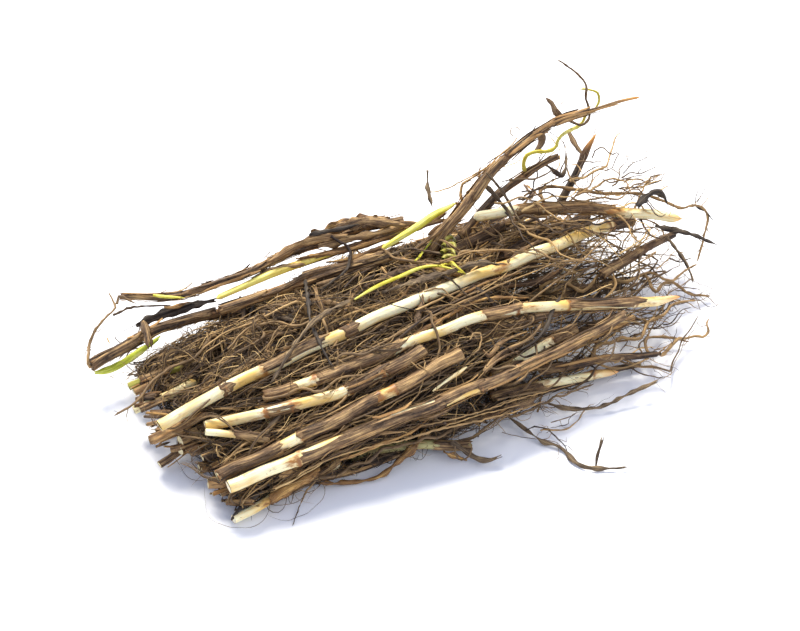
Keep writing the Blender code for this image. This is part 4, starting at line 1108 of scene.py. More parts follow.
class Foreground:
    """What the picture shows bare of roots, as places in the picture with how near each lies."""

    def __init__(self, lines):
        centres = np.concatenate([line.points for line in lines])
        self.nearness = centres @ BACK
        self.radii = np.concatenate([line.radii for line in lines])
        self.widths = self.radii * PIXELS_PER_MM
        self.tree = KDTree(len(centres))
        for k, (column, row) in enumerate(zip(*seen(centres))):
            self.tree.insert((column, row, 0.0), k)
        self.tree.balance()
        self.widest = self.widths.max()

    def clear(self, places, thickness, may_cross):
        """Slip fine roots behind the foreground, and say which of them found room there."""
        count, stops = places.shape[:2]
        columns, rows = seen(places)
        nearness = places @ BACK
        push = np.zeros((count, stops))
        for i in range(count):
            if may_cross[i]:
                continue
            for j in range(stops):
                spot_at = (columns[i, j], rows[i, j], 0.0)
                for _, k, distance in self.tree.find_range(spot_at, self.widest + 1.5):
                    if distance < self.widths[k] + 1.0:
                        need = nearness[i, j] - (self.nearness[k] - self.radii[k] - thickness[i] - 0.15)
                        push[i, j] = max(push[i, j], need)
        eased = push.copy()
        for _ in range(3):
            eased[:, 1:-1] = np.maximum(push[:, 1:-1], (eased[:, :-2] + eased[:, 2:]) / 2 * 0.9)
        places = places - eased[..., None] * BACK
        roomy = (eased.max(axis=1) < 9.0) & (places[..., 2].min(axis=1) > 0.0)
        return places, roomy | may_cross


def draped(foreground, route, lift):
    """Places that the camera sees at columns and rows, in front of what lies there, as if laid over it."""
    places = []
    for place in route:
        if len(place) == 3:
            places.append(spot(*place))
            continue
        column, row = place
        low = on_heap(column, row, 0.0, lift) @ BACK
        for _, k, distance in foreground.tree.find_range((column, row, 0.0), foreground.widest + 1.5):
            aside = min(distance, foreground.widths[k]) / PIXELS_PER_MM
            if distance < foreground.widths[k] + 1.0:
                rise = math.sqrt(max(0.0, foreground.radii[k] ** 2 - aside ** 2))
                low = max(low, foreground.nearness[k] + rise + lift)
        places.append(EYE + (EYE @ BACK - low) * ray(column, row))
    return np.array(places)


def wander(starts, headings, steps, length, rng, lift, bend):
    """Lines that wander from their starts, kept down at the heap and inside the outline of the mat."""
    count = len(starts)
    places = np.empty((count, steps + 1, 3))
    places[:, 0] = starts
    turn = np.zeros((count, 3))
    aim = headings.copy()
    stride = (length / steps)[:, None]
    for k in range(steps):
        turn = 0.72 * turn + bend[:, None] * rng.normal(size=(count, 3)) * (0.8, 1.0, 0.7)
        x, y, z = places[:, k].T
        top = heap(x, y) + lift
        above = np.clip((z - top) / 1.5, 0.0, 1.5)
        inward = np.sign(np.interp(x, HEAP_X, HEAP_MIDDLE) - y)
        pull = np.stack([np.zeros(count), 0.35 * above * inward, -0.6 * above], axis=1)
        pull[:, 2] += 0.5 * np.clip((1.2 - z) / 1.0, 0.0, 1.0)
        pull[:, 0] -= 0.5 * np.sign(x) * ((x < MAT_ENDS[0]) | (x > MAT_ENDS[1]))
        column, row = seen(places[:, k])
        below = np.clip((row - np.interp(column, *MAT_FRONT) + 8.0) / 12.0, 0.0, 1.5)
        over = np.clip((np.interp(column, *MAT_REAR) - row + 6.0) / 12.0, 0.0, 1.5)
        pull += 0.5 * (below - over)[:, None] * INTO_PICTURE
        pull += 0.05 * (aim - headings)
        headings = unit(headings + (turn + pull) * stride)
        places[:, k + 1] = places[:, k] + headings * stride
    places[:, 1:] += rng.normal(0.0, KINKS, (count, steps, 3))
    return raised(places, 0.15)


def root_tones(shade, dirt=0.0):
    """What the root skin reads for each root: its shade and its dirt."""
    return np.stack(np.broadcast_arrays(shade, 0.0, dirt), axis=-1)


def add_fibres(shape, places, thickness, sides, tone_of, rng, slot=0, taper=0.35):
    """Tapering tubes along many lines at once."""
    count, stops = places.shape[:2]
    tangent = unit(np.gradient(places, axis=1))
    side = np.cross(tangent[:, 0], rng.normal(size=(count, 3)))
    across = np.empty_like(places)
    for k in range(stops):
        t = tangent[:, k]
        side = unit(side - (side * t).sum(1)[:, None] * t)
        across[:, k] = side
    over = np.cross(tangent, across)
    share = np.linspace(0.0, 1.0, stops)[None, :]
    radius = thickness[:, None] * (1.0 - (1.0 - taper) * share ** 2)
    radius = radius * (1.0 + 0.12 * rng.normal(size=(count, stops)))
    radius[:, -1] *= 0.3
    angle = np.arange(sides) * 2 * math.pi / sides
    spoke = spokes(angle, across[:, :, None], over[:, :, None])
    points = places[:, :, None] + radius[:, :, None, None] * spoke
    one = grid_faces(stops, sides, True)
    faces = (one[None] + (np.arange(count) * stops * sides)[:, None, None]).reshape(-1, 4)
    step = np.linalg.norm(np.diff(places, axis=1), axis=-1)
    run = np.concatenate([np.zeros((count, 1)), np.cumsum(step, axis=1)], axis=1)
    offset = rng.uniform(0, 500, size=count)
    grain = np.empty(points.shape)
    grain[..., 0] = radius[..., None] * np.cos(angle) * 2.0
    grain[..., 1] = radius[..., None] * np.sin(angle) * 2.0
    grain[..., 2] = (run + offset[:, None])[..., None]
    if tone_of.ndim == 2:
        tone_of = tone_of[:, None]
    shape.add(points, faces, grain, np.array(np.broadcast_to(tone_of[:, :, None], points.shape)), slot)


def painted_depth_shade(places):
    """How deep places lie under the heap's surface, from 0 to 1, painted onto the mat's roots as shade."""
    top = heap(places[..., 0], places[..., 1])
    return np.clip((top - places[..., 2]) / 9.0, 0.0, 1.0)


# The skins: pale ones with their light, warm and stained colours, striped ones with their dark, middle
# and light stripes and their dust, and those of the roots and the soil with a colour for each shade.
PALE = pale_surface("pale_rhizome_skin", (252, 242, 196), (232, 192, 106), (170, 116, 58))
WARM_YELLOW = pale_surface("warm_yellow_skin", (246, 234, 124), (228, 184, 66), (176, 116, 42))
OLIVE_SKIN = pale_surface("olive_rhizome_skin", (182, 174, 118), (134, 118, 68), (84, 62, 34))
GREEN_SKIN = pale_surface("green_cut_skin", (174, 168, 76), (130, 122, 42), (92, 70, 30))
BARK = striped_surface("brown_skin", ((46, 35, 28), (124, 96, 68), (206, 168, 114)), (156, 138, 114))
SHEATH = striped_surface("sheath_skin", ((50, 37, 29), (134, 104, 72), (214, 176, 118)), (166, 146, 118),
                         0.9)
TAN_SKIN = striped_surface("tan_skin", ((70, 48, 32), (146, 106, 62), (216, 172, 100)), (172, 150, 118))
YELLOW_SKIN = striped_surface("yellow_skin", ((176, 160, 34), (228, 218, 70), (250, 244, 150)),
                              (216, 206, 136), 0.3, 0.45)
GREEN_LEAF = striped_surface("green_sheath_skin", ((122, 126, 26), (190, 198, 56), (238, 234, 148)),
                             (180, 168, 100), 0.3, 0.45)
DARK_LEAF = striped_surface("dark_leaf_skin", ((34, 28, 26), (68, 58, 48), (112, 98, 80)), (106, 96, 84))
GREY_LEAF = striped_surface("grey_leaf_skin", ((52, 41, 32), (110, 90, 66), (176, 150, 110)),
                            (146, 130, 108))
ROOT = root_surface("root_skin", (0.0, (50, 38, 31)), (0.35, (114, 91, 63)), (0.7, (172, 138, 90)),
                    (1.0, (232, 196, 134)))
SOIL = root_surface("soil", (0.2, (40, 30, 26)), (0.8, (98, 80, 64)))
# A slot name for each skin, and the skin for each colour of the part.
SLOTS = {PALE: "pale_rhizome", OLIVE_SKIN: "olive_rhizome", BARK: "brown_sheath", SHEATH: "brown_sheath",
         ROOT: "brown_sheath", SOIL: "brown_sheath", DARK_LEAF: "dark_leaf", TAN_SKIN: "tan_sheath",
         YELLOW_SKIN: "yellow_shoot", GREEN_SKIN: "green_sheath", GREEN_LEAF: "green_sheath",
         GREY_LEAF: "grey_leaf"}
SKINS = {CREAM: PALE, OLIVE: OLIVE_SKIN, BROWN: BARK, DARK: DARK_LEAF, TAN: TAN_SKIN, YELLOW: YELLOW_SKIN,
         GREEN: GREEN_SKIN, GREY: GREY_LEAF}
LEAF_SKINS = {**SKINS, GREEN: GREEN_LEAF}

PALE_SKINS = ("upper_brown_rhizome", "thick_brown_rhizome", "second_brown_rhizome", "low_front_rhizome")
STEM_ROUNDS = 6
LEFT_CUTS = ("long_pale_rhizome", "short_pale_rhizome", "thick_brown_rhizome", "second_brown_rhizome",
             "low_front_rhizome", "left_stub", "left_upper_piece", "left_cut_end", "left_green_cut_end",
             "thin_pale_rhizome", "right_brown_rhizome")

# The box that the visible model keeps to, in millimetres.
LOWEST = np.array(cad_box[0]) / MM + (-1.0, -0.8, 0.02)
HIGHEST = np.array(cad_box[1]) / MM + (1.0, 0.8, 0.8)
MAT_ENDS = (-50.0, 54.0)
# The outline of the mat in the picture, as columns and rows: its front edge and its rear edge.
MAT_FRONT = ((120, 150, 175, 205, 235, 262, 300, 340, 380, 440, 480, 520, 560, 600, 640, 680, 710),
             (395, 436, 458, 488, 510, 502, 486, 474, 460, 442, 428, 410, 384, 352, 330, 304, 290))
MAT_REAR = ((100, 150, 200, 260, 320, 400, 440, 480, 520, 560, 640, 700),
            (330, 318, 305, 280, 262, 250, 240, 230, 205, 200, 205, 230))
# How dense the mats are at columns of the picture: the mat as a whole, and its finest tangle.
MAT_DENSITY = ((120, 390, 460, 530, 600, 660, 720), (1.0, 1.0, 0.55, 0.25, 0.15, 0.09, 0.04))
TANGLE_DENSITY = ((120, 360, 430, 520, 620, 720), (1.0, 1.0, 0.45, 0.20, 0.10, 0.03))
INTO_PICTURE = np.array([-math.sin(AZIMUTH), math.cos(AZIMUTH), 0.0])


# Further sheaths, and the remains of sheaths at joints, as columns of the picture.
MORE_SHEATHS = {
    "long_pale_rhizome": ((222, 229), (343, 354)),
    "short_pale_rhizome": ((384, 425), (346, 383)),
    "left_green_cut_end": ((143, 170),),
    "thin_pale_rhizome": ((234, 268),),
    "back_brown_rhizome": ((120, 186), (192, 262), (268, 334), (342, 404)),
    "left_arm": ((92, 143), (148, 210)),
    "second_shoot": ((462, 500), (524, 560)),
    "broad_sheath_piece": ((502, 586),),
    "right_brown_rhizome": ((444, 500),),
    "right_stub": ((602, 640),),
    "left_upper_piece": ((152, 183),),
    "back_tan_rhizome": ((220, 262), (304, 385)),
    "big_shoot": ((472, 500), (508, 540)),
    "thick_brown_rhizome": ((437, 482),),
}
# Sheaths that leave part of the rhizome bare: how much of a turn they cover, and where they open.
OPEN_SHEATHS = {
    ("upper_brown_rhizome", 568): (0.72, -0.3),
    ("upper_brown_rhizome", 484): (0.90, -1.0),
    ("thick_brown_rhizome", 299): (0.94, -2.6),
    ("thick_brown_rhizome", 437): (0.76, -0.35),
    ("second_brown_rhizome", 300): (0.90, 0.0),
    ("long_pale_rhizome", 262): (0.80, -0.4),
    ("short_pale_rhizome", 268): (0.85, -2.0),
    ("short_pale_rhizome", 348): (0.80, -1.8),
    ("short_pale_rhizome", 346): (0.70, -0.2),
    ("long_pale_rhizome", 343): (0.9, 1.0),
    ("back_brown_rhizome", 192): (0.80, -1.2),
    ("back_yellow_rhizome", 299): (0.6, -0.9),
    ("back_brown_rhizome", 342): (0.75, -0.6),
}
# How dark, above 0, or tan, below 0, the skin and the sheaths of a rhizome are.
TINTS = {
    "left_arm": 0.35, "back_brown_rhizome": 0.3, "thick_brown_rhizome": 0.1, "short_pale_rhizome": -0.05,
    "low_front_rhizome": -0.4, "right_pale_rhizome": -0.1, "big_shoot": 0.05, "second_shoot": 0.5,
    "broad_sheath_piece": 0.4, "right_brown_rhizome": 0.5, "left_stub": 0.2, "back_yellow_rhizome": -0.8,
    "left_upper_piece": -0.2, "long_pale_rhizome": 0.25, "hairy_root": 0.35, "right_stub": 0.15,
}
# How thick the rhizomes are drawn at columns of the picture, as shares of the part's own thickness.
GIRTHS = {
    "thick_brown_rhizome": ((225, 440, 520, 625), (0.95, 0.90, 0.74, 0.55)),
    "big_shoot": ((430, 500, 640), (0.88, 0.80, 0.9)),
    "second_shoot": ((460, 510, 560), (0.85, 0.7, 0.42)),
    "dark_upright_shoot": ((560, 600), (0.75, 0.62)),
    "back_brown_rhizome": ((118, 230, 300, 400), (0.60, 0.68, 0.86, 0.86)),
    "left_arm": ((88, 210), (0.82, 0.72)),
    "back_tan_rhizome": ((215, 400), (0.75, 0.82)),
    "back_yellow_rhizome": ((213, 240, 285, 330, 400), (0.8, 0.95, 1.2, 0.85, 0.7)),
    "right_stub": ((600, 660), (0.8, 0.7)),
    "broad_sheath_piece": ((500, 690), (0.8, 0.7)),
    "right_brown_rhizome": ((440, 640), (0.8, 0.75)),
    "second_brown_rhizome": ((217, 430), (0.92, 0.86)),
    "left_upper_piece": ((150, 250), (0.8, 0.7)),
    "hairy_root": ((560, 660), (0.85, 0.5)),
    "yellow_shoot": ((385, 425, 445, 456), (0.7, 1.1, 0.9, 0.4)),
}
# How far an orange tip reaches back, in millimetres.
TIPS = {"big_shoot": 5.0, "dark_upright_shoot": 4.5, "upper_brown_rhizome": 5.5, "lower_pale_rhizome": 4.5,
        "right_pale_rhizome": 1.6}
# The girths of the rhizomes that GIRTHS leaves out.
PALE_GIRTH = ((0, 800), (1.0, 1.0))
BROWN_GIRTH = ((0, 800), (0.94, 0.94))
HIDDEN_GIRTH = ((0, 480, 600, 690), (1.0, 0.9, 0.62, 0.5))
# How dirty pale rhizomes are, and which rhizomes are drawn with the pale girth.
PALE_DIRT = {"long_pale_rhizome": 0.1, "right_pale_rhizome": 0.3, "short_cream_piece": 0.2}
PALE_NODES = ("long_pale_rhizome", "lower_pale_rhizome", "right_pale_rhizome", "short_cream_piece")

# The skins' places in a rhizome's list, and those of the bare roots that are fresh or leafy.
SHEATH_PART, ROOT_PART, FRESH_PART, LEAFY_PART = 1, 2, 3, 4
BARE_PARTS = {15: FRESH_PART, 16: LEAFY_PART, 17: LEAFY_PART}


def make_stems(stems, hidden, bare, fibrous):
    """The rhizomes and shoots, each with its sheaths and the roots that grow from it."""
    lines = []
    for number, strand in enumerate(stems + hidden):
        draw = random.Random(SEEDS["stems"] + number)
        name = strand.node
        spec = RHIZOMES.get(name, dict(colour=BROWN))
        seen_stem = strand in stems
        usual = HIDDEN_GIRTH if not seen_stem else PALE_GIRTH if name in PALE_NODES else BROWN_GIRTH
        radii = strand.radii * np.interp(seen(strand.points)[0], *GIRTHS.get(name, usual))
        points = settled(strand.points, STEM_ROUNDS)
        run = run_of(points)
        for axis in (1, 2):
            sway = math.sin(draw.uniform(0, PHASE))
            sway = sway + np.sin(run / draw.uniform(1.8, 3.2) + draw.uniform(0, PHASE))
            points[:, axis] += 0.14 * sway * np.clip(np.minimum(run, run[-1] - run) / 4.0, 0.0, 1.0)
        line = Line(points, radii, STEM_STEP)
        lines.append(line)
        skin = SKINS[spec["colour"]]
        slot = SLOTS[skin]
        if name in PALE_SKINS:
            skin = PALE
        elif name == "back_yellow_rhizome":
            skin = WARM_YELLOW
        waves = SMOOTH_SKIN if skin is PALE else DRY_SKIN
        shape = Shape()
        rings = (*strand.joints, *(start for start, _ in strand.sheaths))
        joints = sorted({line.where(column) for column in rings})
        cuts = (name in LEFT_CUTS or not seen_stem, not seen_stem)
        tint = TINTS.get(name, 0.0 if seen_stem else draw.uniform(-0.3, 0.7))
        add_stem(shape, line, draw, waves, joints, cuts, 0, STEM_SIDES if seen_stem else HIDDEN_SIDES,
                 PALE_DIRT.get(name, 0.35) if skin is PALE else tint, TIPS.get(name, 0.0))
        for start, end in strand.sheaths + MORE_SHEATHS.get(name, ()):
            begin, finish = sorted((line.where(start), line.where(end)))
            begin, finish = max(0.15, begin), min(finish, line.length - 0.3)
            wrap, opening = OPEN_SHEATHS.get((name, start), (None, None))
            add_sheath(shape, line, begin, finish, draw, SHEATH_PART, wrap, opening,
                       tint + draw.uniform(-0.15, 0.15), 0.5 if finish - begin > 6.0 else 0.15)
            add_peels(shape, line, begin, finish, int((finish - begin) / 4.0) + 1, draw, SHEATH_PART)
        if skin is not PALE and slot in ("brown_sheath", "tan_sheath"):
            add_peels(shape, line, 1.0, line.length - 1.0, int(line.length / 6.0), draw, SHEATH_PART)
        add_bare_roots(shape, [k for k in range(len(bare)) if bare[k].node == name], bare)
        add_fibrous_roots(shape, [root for root in fibrous if root.node == name])
        shape.piece(name + "_skin", (skin, SHEATH, ROOT, YELLOW_SKIN, GREY_LEAF), name, slot=slot)
    return lines


def add_bare_roots(shape, numbers, bare):
    """The bolder roots, kinked and tapering, with rootlets and hairs along them."""
    for number in numbers:
        root = bare[number]
        rng = np.random.default_rng(SEEDS["bare_roots"] + number)
        fine = smooth(root.points, 0.8)
        wave = np.cumsum(rng.normal(size=fine.shape), axis=0)
        wave -= np.linspace(wave[0], wave[-1], len(fine))
        fine = fine + np.clip(wave * 0.05, -0.3, 0.3)
        fine = raised(fine, 0.2)
        part = BARE_PARTS.get(number, ROOT_PART)
        tone = root_tones([rng.uniform(0.3, 0.7)])
        add_fibres(shape, fine[None], np.array([root.radii[0] * 0.74]), 7, tone, rng, part, 0.5)
        if part != ROOT_PART:
            continue
        count = max(4, int(len(fine) * 0.8 / 1.6))
        at = rng.integers(2, len(fine) - 2, count)
        along = fine[at + 1] - fine[at]
        headings = unit(along + rng.normal(0.0, 0.8, (count, 3)))
        length = rng.uniform(1.2, 5.5, count)
        hairs = free_lines(fine[at], headings, 8, length, rng, 0.28)
        tones = root_tones(rng.uniform(0.1, 0.6, count))
        add_fibres(shape, hairs, rng.uniform(0.05, 0.12, count), 3, tones, rng, ROOT_PART)


def free_lines(starts, headings, steps, length, rng, bend):
    """Short lines that curl freely from their starts, above the ground."""
    places = np.empty((len(starts), steps + 1, 3))
    places[:, 0] = starts
    stride = (length / steps)[:, None]
    for k in range(steps):
        headings = unit(headings + rng.normal(0.0, bend, headings.shape))
        places[:, k + 1] = places[:, k] + headings * stride
    return raised(places, 0.12)


# The strands of a fibrous root, and the columns where roots stray from the mat or grow sparse.
ROOT_STRANDS = 4
MAT_LEFT, THIN_LEFT_OF, SPARSE_RIGHT_OF = 138, 400, 520


def add_fibrous_roots(shape, roots):
    """The thin roots, each a few fine strands that run together and part at their ends."""
    for number, root in enumerate(roots):
        rng = np.random.default_rng(SEEDS["fibrous_roots"] + 31 * number + len(root.points))
        fine = smooth(root.points, 1.0)
        count = ROOT_STRANDS
        spread = np.cumsum(rng.normal(size=(count, *fine.shape)), axis=1) * 0.08
        share = np.linspace(0.0, 1.0, len(fine))[None, :, None]
        places = fine[None] + np.clip(spread, -1.1, 1.1) * np.minimum(1.0, 3.0 * share)
        places[:, 1:-1] = 0.5 * places[:, 1:-1] + 0.25 * (places[:, :-2] + places[:, 2:])
        places = raised(places, 0.15)
        columns, rows = seen(fine)
        stray = np.any(rows > np.interp(columns, *MAT_FRONT) + 1.0) or np.any(columns < MAT_LEFT)
        thick = np.concatenate([[root.radii[0] * 0.45], rng.uniform(0.06, 0.13, count - 1)])
        if stray and np.min(columns) < THIN_LEFT_OF:
            count, thick = 1, np.array([0.06])
        elif np.mean(columns) > SPARSE_RIGHT_OF:
            count, thick = 2, thick[:2]
        tones = root_tones(rng.uniform(0.1, 0.7, count), 0.15)
        add_fibres(shape, places[:count], thick, 4, tones, rng, ROOT_PART, 0.4)


# How wide leaves are drawn, as shares of the part's own width, how dark some are, and which are crumpled.
LEAF_SHARES = {"second_dark_leaf": 0.5, "left_green_sheath": 0.82, "yellow_leaf": 0.6, "yellow_scale": 0.8,
               "first_dark_leaf": 0.9, "hanging_leaf": 0.7, "right_ground_leaf": 0.8, "far_ground_leaf": 0.7,
               "wrinkled_leaf": 0.6, "third_dark_leaf": 0.8}
CRUMPLED = ("crumpled_top_leaf", "wrinkled_leaf")
LEAF_TINTS = {"crumpled_top_leaf": 0.3, "dark_strip": 0.4, "folded_dark_leaf": 0.2}


def make_leaves(leaves):
    """The leaves and sheath scraps that have nodes of their own."""
    lines = []
    for number, strand in enumerate(leaves):
        draw = random.Random(SEEDS["leaves"] + number)
        half_width, colour, _ = LEAVES[strand.node]
        slim = LEAF_SHARES.get(strand.node, 0.88)
        shape = Shape()
        line = Line(settled(strand.points, 4), strand.radii * slim, 0.5, facing=True)
        lines.append(line)
        wear = 0.3 if colour in (GREEN, YELLOW) else 2.2 if strand.node in CRUMPLED else 1.5
        add_leaf(shape, line, half_width * slim, draw, draw.uniform(0.4, 1.0), draw.uniform(0.3, 0.7),
                 LEAF_TINTS.get(strand.node, 0.0), wear)
        shape.piece(strand.node + "_blade", (LEAF_SKINS[colour],), strand.node)
    return lines


def start_places(rng, count, surface, obstacles, density=MAT_DENSITY):
    """Places in the mat, dense where the picture is, and the direction of the nearest rhizome there."""
    found = []
    while len(found) < count:
        x = rng.uniform(-48.0, 50.0)
        side = rng.uniform(-1.0, 1.0)
        y = np.interp(x, HEAP_X, HEAP_MIDDLE) + side * np.interp(x, HEAP_X, HEAP_HALF_WIDTH)
        z = max(0.5, float(heap(x, y)) * (1.0 - rng.uniform() ** surface))
        place = np.array([x, y, z])
        column, row = seen(place)
        inside = np.interp(column, *MAT_REAR) < row < np.interp(column, *MAT_FRONT)
        if inside and rng.uniform() < np.interp(column, *density):
            found.append(place)
    along = np.array([obstacles.tangents[obstacles.tree.find(p)[1]] for p in found])
    return np.array(found), along


# Each mat of fine roots: how many, lengths, radii, steps, sides, how far they start off the direction
# of the rhizomes, how much they bend, how far they stand above the heap, how near its top they start,
# how dense they are along the picture, and the share of them that may cross the rhizomes.
MATS = (
    ("root_mat_bold", 240, (24.0, 62.0), (0.15, 0.30), 28, 5,
     0.12, (0.006, 0.03), 0.2, 1.6, MAT_DENSITY, 0.08),
    ("root_mat_straight", 1500, (14.0, 42.0), (0.07, 0.15), 16, 3,
     0.18, (0.015, 0.055), 0.4, 1.8, MAT_DENSITY, 0.09),
    ("root_mat_curly", 1500, (7.0, 20.0), (0.05, 0.12), 16, 3,
     0.6, (0.08, 0.24), 0.6, 1.6, TANGLE_DENSITY, 0.05),
    ("root_mat_deep", 800, (14.0, 38.0), (0.13, 0.24), 14, 3,
     0.22, (0.02, 0.07), -1.5, 0.6, MAT_DENSITY, 0.0),
    ("root_hairs", 1450, (2.5, 9.0), (0.035, 0.06), 8, 3,
     0.9, (0.2, 0.5), 1.0, 2.2, TANGLE_DENSITY, 0.05),
)


def make_mat(obstacles, foreground):
    """The fine roots that fill the heap and lie over it."""
    rng = np.random.default_rng(SEEDS["mats"])
    for name, count, reach, thick, steps, sides, aim, bend, lift, surface, density, crossing in MATS:
        starts, along = start_places(rng, count, surface, obstacles, density)
        headings = along * rng.choice((-1.0, 1.0), count)[:, None]
        headings = unit(headings + rng.normal(0, aim, (count, 3)) * (1.0, 1.0, 0.6))
        length = rng.uniform(*reach, count)
        places = wander(starts, headings, steps, length, rng, rng.normal(lift, 0.8, count),
                        rng.uniform(*bend, count))
        thickness = rng.uniform(*thick, count)
        under = np.repeat(rng.uniform(size=count) < 0.88, steps + 1)
        flat = obstacles.clear(places.reshape(-1, 3), np.repeat(thickness, steps + 1), under)
        may_cross = rng.uniform(size=count) < crossing
        places, roomy = foreground.clear(flat.reshape(places.shape), thickness, may_cross)
        places, thickness = places[roomy], thickness[roomy]
        places[:, 1:-1] = 0.6 * places[:, 1:-1] + 0.2 * (places[:, :-2] + places[:, 2:])
        places = raised(places, 0.12)
        tone = np.zeros((len(places), steps + 1, 3))
        tone[..., 0] = rng.beta(0.8, 1.35, len(places))[:, None]
        tone[..., 0] += 0.3 * np.clip((places[..., 0] + 5.0) / 45.0, 0.0, 1.0)
        # Painted shade: the deeper a root lies under the heap's surface, the darker it is drawn.
        tone[..., 2] = painted_depth_shade(places)
        shape = Shape()
        add_fibres(shape, places, thickness, sides, tone, rng)
        shape.piece(name, (ROOT,))


# Where thin roots stand out: how many, columns, rows, height at (600, 200) and its slopes along columns
# and rows, heading with its spread, lengths in the picture, and radii.
THICKETS = (
    (46, (490, 640), (178, 232), (19.5, -0.045, -0.13), (-0.05, 0.3), (40, 120), (0.12, 0.30)),
    (16, (560, 650), (160, 196), (19.5, -0.045, -0.13), (-0.1, 0.6), (20, 60), (0.10, 0.22)),
    (34, (600, 684), (225, 300), (11.0, -0.05, -0.06), (-0.2, 0.5), (25, 80), (0.08, 0.2)),
    (30, (570, 676), (305, 372), (11.5, -0.035, -0.05), (-0.25, 0.4), (25, 80), (0.08, 0.2)),
    (26, (430, 560), (380, 436), (14.0, 0.01, -0.05), (-0.35, 0.22), (30, 90), (0.08, 0.2)),
)


def make_thickets():
    """Thin branching roots that stand out of the rear and the right end of the clump."""
    rng = np.random.default_rng(SEEDS["thickets"])
    shape = Shape()
    for count, columns, rows, heights, heading, reach, thick in THICKETS:
        for _ in range(count):
            column, row = rng.uniform(*columns), rng.uniform(*rows)
            height = max(0.5, heights[0] + heights[1] * (column - 600) + heights[2] * (row - 200))
            turn = rng.normal(*heading)
            route = []
            for _ in range(int(rng.uniform(*reach) / 5.0)):
                place = spot(column, row, max(0.3, height))
                if not (np.all(place > LOWEST + 0.3) and np.all(place < HIGHEST - 0.3)):
                    break
                route.append(place)
                turn += rng.normal(0.0, 0.32)
                turn -= 0.08 * (turn - heading[0])
                column += 5.0 * math.cos(turn)
                row += 5.0 * math.sin(turn)
                height += rng.normal(0.0, 0.35) - 0.05
            if len(route) < 4:
                continue
            fine = smooth(np.array(route), 1.0)
            radius = rng.uniform(*thick)
            shade = rng.beta(1.3, 1.6)
            add_fibres(shape, fine[None], np.array([radius]), 5, root_tones([shade]), rng, 0, 0.4)
            twigs = rng.integers(1, 4) + len(fine) // 10
            at = rng.integers(1, len(fine) - 1, twigs)
            headings = unit(fine[at + 1] - fine[at] + rng.normal(0.0, 0.7, (twigs, 3)))
            hairs = free_lines(fine[at], headings, 8, rng.uniform(1.5, 7.0, twigs), rng, 0.3)
            tones = root_tones(rng.uniform(0.05, 0.6, twigs))
            add_fibres(shape, np.clip(hairs, LOWEST, HIGHEST), rng.uniform(0.04, 0.09, twigs), 3, tones, rng)
    shape.piece("root_thickets", (ROOT,))


# How many roots tie each of the two rear rhizomes, and their lengths.
REAR_COUNTS = (30, 110)
REAR_REACH = ((3.0, 9.0), (4.0, 13.0))


def make_rear_roots(rear):
    """Fine roots that tie the rear rhizomes on the ground to the clump."""
    rng = np.random.default_rng(SEEDS["rear_roots"])
    shape = Shape()
    for strand, count, reach in zip(rear, REAR_COUNTS, REAR_REACH):
        starts = strand.points[rng.integers(2, len(strand.points) - 2, count)]
        starts = starts + rng.normal(0.0, 0.3, (count, 3))
        headings = unit(rng.normal((0.0, -1.0, 0.12), (0.75, 0.35, 0.3), (count, 3)))
        places = free_lines(starts, headings, 9, rng.uniform(*reach, count), rng, 0.26)
        tones = root_tones(rng.beta(1.3, 1.6, count), rng.uniform(-0.3, 0.8, count))
        add_fibres(shape, np.clip(places, LOWEST, HIGHEST), rng.uniform(0.06, 0.19, count), 3, tones, rng)
    shape.piece("rear_roots", (ROOT,))


# Loose strips: their name, how many are tried, and their skin.
SCRAPS = (
    ("sheath_strips", 150, SHEATH),
    ("grey_strips", 60, GREY_LEAF),
    ("tan_strips", 30, TAN_SKIN),
)


def make_scraps(obstacles, foreground):
    """Loose strips of old sheath that lie along the rhizomes in the mat."""
    rng = np.random.default_rng(SEEDS["scraps"])
    for name, count, skin in SCRAPS:
        starts, along = start_places(rng, count, 2.2, obstacles)
        headings = unit(along + rng.normal(0, 0.12, (count, 3)) * (1.0, 1.0, 0.5))
        length = rng.uniform(9.0, 30.0, count)
        places = wander(starts, headings, SCRAP_STEPS, length, rng, rng.normal(-0.3, 0.6, count),
                        np.full(count, 0.035))
        flat = places.reshape(-1, 3)
        flat = obstacles.clear(flat, np.full(len(flat), 0.5), np.full(len(flat), True))
        places, roomy = foreground.clear(flat.reshape(places.shape), np.full(count, 0.6),
                                         np.zeros(count, bool))
        shape = Shape()
        for number in np.flatnonzero(roomy).tolist():
            draw = random.Random(SEEDS["scrap_shapes"] + 97 * number + len(name))
            wide = draw.uniform(0.22, 0.85)
            radii = wide * narrowed(np.linspace(0.0, 1.0, SCRAP_STEPS + 1), 0.5, 4.0)
            line = Line(settled(places[number], 3), radii, 0.9, facing=True)
            add_leaf(shape, line, wide, draw, draw.uniform(0.3, 1.3), draw.uniform(0.1, 0.5),
                     draw.uniform(-0.7, 0.8))
        shape.piece(name, (skin,))


